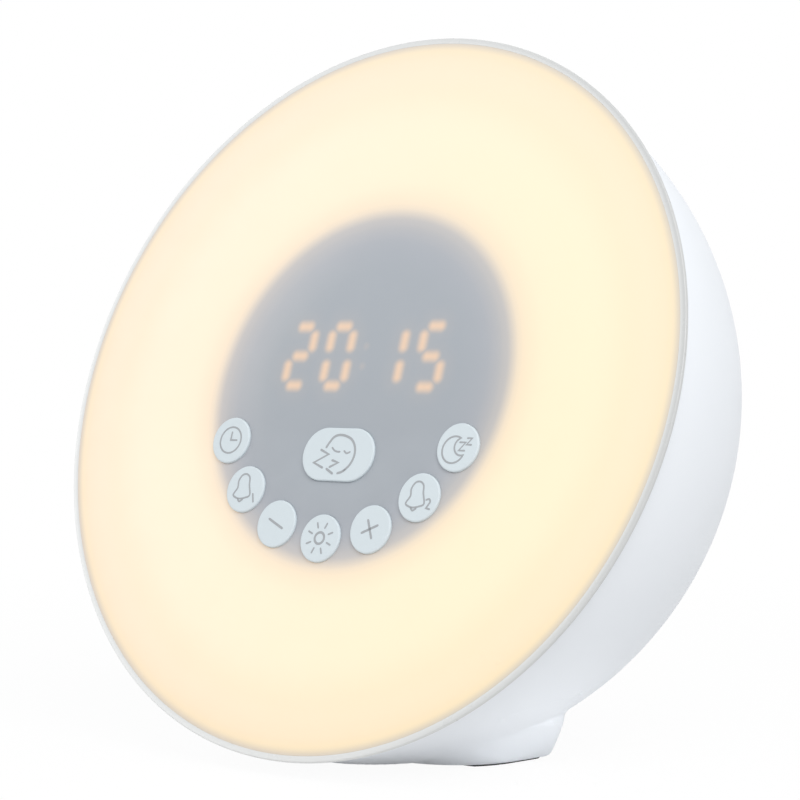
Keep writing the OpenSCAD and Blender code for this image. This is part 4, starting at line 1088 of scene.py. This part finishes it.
def cad_finishes(shell, button):
    lit = moulded_plastic("lit_lens", (1.0, 0.6, 0.3), 0.3)
    surface = lit.node_tree.nodes["Principled BSDF"]
    surface.inputs["Emission Color"].default_value = (1.0, 0.5, 0.2, 1.0)
    surface.inputs["Emission Strength"].default_value = 1.0
    return {
        "shell": shell,
        "button": button,
        "core_grey": moulded_plastic("core_grey", (0.55, 0.57, 0.6), 0.5),
        "circuit_board": circuit_board("circuit_board", (0.03, 0.2, 0.08), (0.75, 0.72, 0.65)),
        "black_plastic": moulded_plastic("black_plastic", (0.02, 0.02, 0.023), 0.42),
        "display_grey": moulded_plastic("display_grey", (0.3, 0.32, 0.34), 0.5),
        "segment_lit": lit,
        "segment_dark": moulded_plastic("dark_lens", (0.5, 0.52, 0.54), 0.35),
        "reflector_white": moulded_plastic("reflector_white", (0.86, 0.86, 0.85), 0.3),
        "light_board_white": circuit_board("light_board_white", (0.5, 0.5, 0.48), (0.75, 0.72, 0.65)),
        "lamp": moulded_plastic("lamp_phosphor", (0.95, 0.75, 0.3), 0.4),
        "speaker_steel": metal("speaker_steel", (0.2, 0.2, 0.21), 0.45),
        "magnet": metal("magnet", (0.06, 0.06, 0.065), 0.55),
        "cone": soft_black("cone_paper", (0.012, 0.012, 0.012), 1800.0, 0.03),
        "foam": soft_black("foam", (0.02, 0.02, 0.02), 2600.0, 0.06),
        "clamp_steel": metal("clamp_steel", (0.62, 0.63, 0.65), 0.3),
        "contact_metal": metal("contact_metal", (0.82, 0.74, 0.55), 0.28),
        "screw_steel": metal("screw_steel", (0.6, 0.61, 0.63), 0.3),
        "cell_steel": metal("cell_steel", (0.7, 0.7, 0.69), 0.24),
        "wire_red": soft_black("wire_red", (0.5, 0.02, 0.02), 900.0, 0.01, 0.5),
        "wire_yellow": soft_black("wire_yellow", (0.6, 0.5, 0.05), 900.0, 0.01, 0.5),
        "wire_black": soft_black("wire_black", (0.03, 0.03, 0.03), 900.0, 0.01, 0.5),
        "wire_blue": soft_black("wire_blue", (0.03, 0.05, 0.35), 900.0, 0.01, 0.5),
    }


# ---- Stage and light ----


def seen_directly(tree):
    """One where a ray comes from the camera, or mirrors or passes on what the camera sees."""
    path = tree.nodes.new("ShaderNodeLightPath")
    total = path.outputs["Is Camera Ray"]
    for name in ("Is Glossy Ray", "Is Transmission Ray"):
        join = tree.nodes.new("ShaderNodeMath")
        join.operation = "MAXIMUM"
        tree.links.new(total, join.inputs[0])
        tree.links.new(path.outputs[name], join.inputs[1])
        total = join.outputs[0]
    return total


AMBIENT = (0.53, 0.535, 0.542)
FLOOR_GREY = 0.82
TABLE_GLOW = 0.54  # share of the floor's light that comes from the table itself, away from the clock
FLOOR_SHADOW = 0.05  # share of its own light and shade in what the camera sees of the floor, near the clock


def make_world():
    world = bpy.data.worlds.new("studio")
    bpy.context.scene.world = world
    world.use_nodes = True
    tree = world.node_tree
    background = tree.nodes["Background"]
    mix = tree.nodes.new("ShaderNodeMix")
    mix.data_type = "RGBA"
    tree.links.new(seen_directly(tree), mix.inputs[0])
    mix.inputs[6].default_value = rgba(AMBIENT)
    mix.inputs[7].default_value = (1, 1, 1, 1)
    tree.links.new(mix.outputs[2], background.inputs[0])


def make_floor():
    """The table: white to the camera with a faint shadow near the clock, and grey to all other rays."""
    s = Shader("floor")
    tree = s.tree
    out = next(n for n in tree.nodes if n.type == "OUTPUT_MATERIAL")
    tree.nodes.remove(s.surface)
    white = s.node("Emission", {"Color": (1, 1, 1, 1), "Strength": 1.0}).outputs[0]
    pale = s.node("BsdfDiffuse", {"Color": (1, 1, 1, 1)}).outputs[0]
    grey = s.node("BsdfDiffuse", {"Color": rgba([FLOOR_GREY] * 3)}).outputs[0]
    glowing = s.node("Emission", {"Color": rgba([FLOOR_GREY] * 3), "Strength": 1.0}).outputs[0]
    far = s.vector("LENGTH", s.place())  # metres
    glow = s.smooth_step(far, 0.03, 0.11, 0.0, TABLE_GLOW)
    table = s.node("MixShader", {0: glow, 1: grey, 2: glowing}).outputs[0]
    share = s.smooth_step(far, 0.12, 0.5, FLOOR_SHADOW, 0.0)
    shown = s.node("MixShader", {0: share, 1: white, 2: pale}).outputs[0]
    mixed = s.node("MixShader", {0: seen_directly(tree), 1: table, 2: shown}).outputs[0]
    tree.links.new(mixed, out.inputs[0])
    half = 3.0
    corners = [(-half, -half, 0), (half, -half, 0), (half, half, 0), (-half, half, 0)]
    mesh = bpy.data.meshes.new("floor")
    mesh.from_pydata(corners, [], [(0, 1, 2, 3)])
    mesh.materials.append(s.material)
    floor = bpy.data.objects.new("floor", mesh)
    bpy.context.scene.collection.objects.link(floor)


def make_lamp(name, azimuth, elevation, distance, size, watts, height=0.08, spread=180.0):
    """A square soft light that faces the clock at some height. Its lengths are metres."""
    back = bearing(azimuth, elevation)
    data = bpy.data.lights.new(name, "AREA")
    data.shape, data.size, data.energy, data.spread = "SQUARE", size, watts, math.radians(spread)
    lamp = bpy.data.objects.new(name, data)
    bpy.context.scene.collection.objects.link(lamp)
    lamp.location = Vector((0, 0, height)) + back * distance
    lamp.rotation_euler = back.to_track_quat("Z", "Y").to_euler()


def make_lights():
    make_lamp("key", azimuth=55, elevation=44, distance=1.4, size=1.0, watts=12.0)
    # A weak, narrow beam along the table that lightens the foot's side
    make_lamp("low", 64, 0.3, distance=0.8, size=0.03, watts=0.0014, height=0.002, spread=3.5)
    make_lamp("rim", azimuth=-60, elevation=20, distance=1.5, size=1.2, watts=3.1)


# ---- Build ----

view = bpy.context.scene.view_settings
view.view_transform = "Standard"

shell = moulded_plastic("shell_plastic", SHELL_WHITE, 0.48, Specular_IOR_Level=0.15)
bezel = bezel_plastic_painted_light()
button = moulded_plastic("button_plastic", BUTTON_WHITE, 0.55, grain=0.004, Specular_IOR_Level=0.2)
ink = moulded_plastic("grey_ink", (0.38, 0.40, 0.42), 0.6, grain=0.002)
rubber = soft_black("pad_rubber", (0.03, 0.03, 0.03), 1500.0, 0.03)

make_cover(milky_cover())
make_bezel(bezel)
make_dome(shell)
make_foot(shell)
make_pad(rubber)
make_buttons(button, ink)
finish_cad(cad_finishes(shell, button))
make_world()
make_floor()
make_lights()
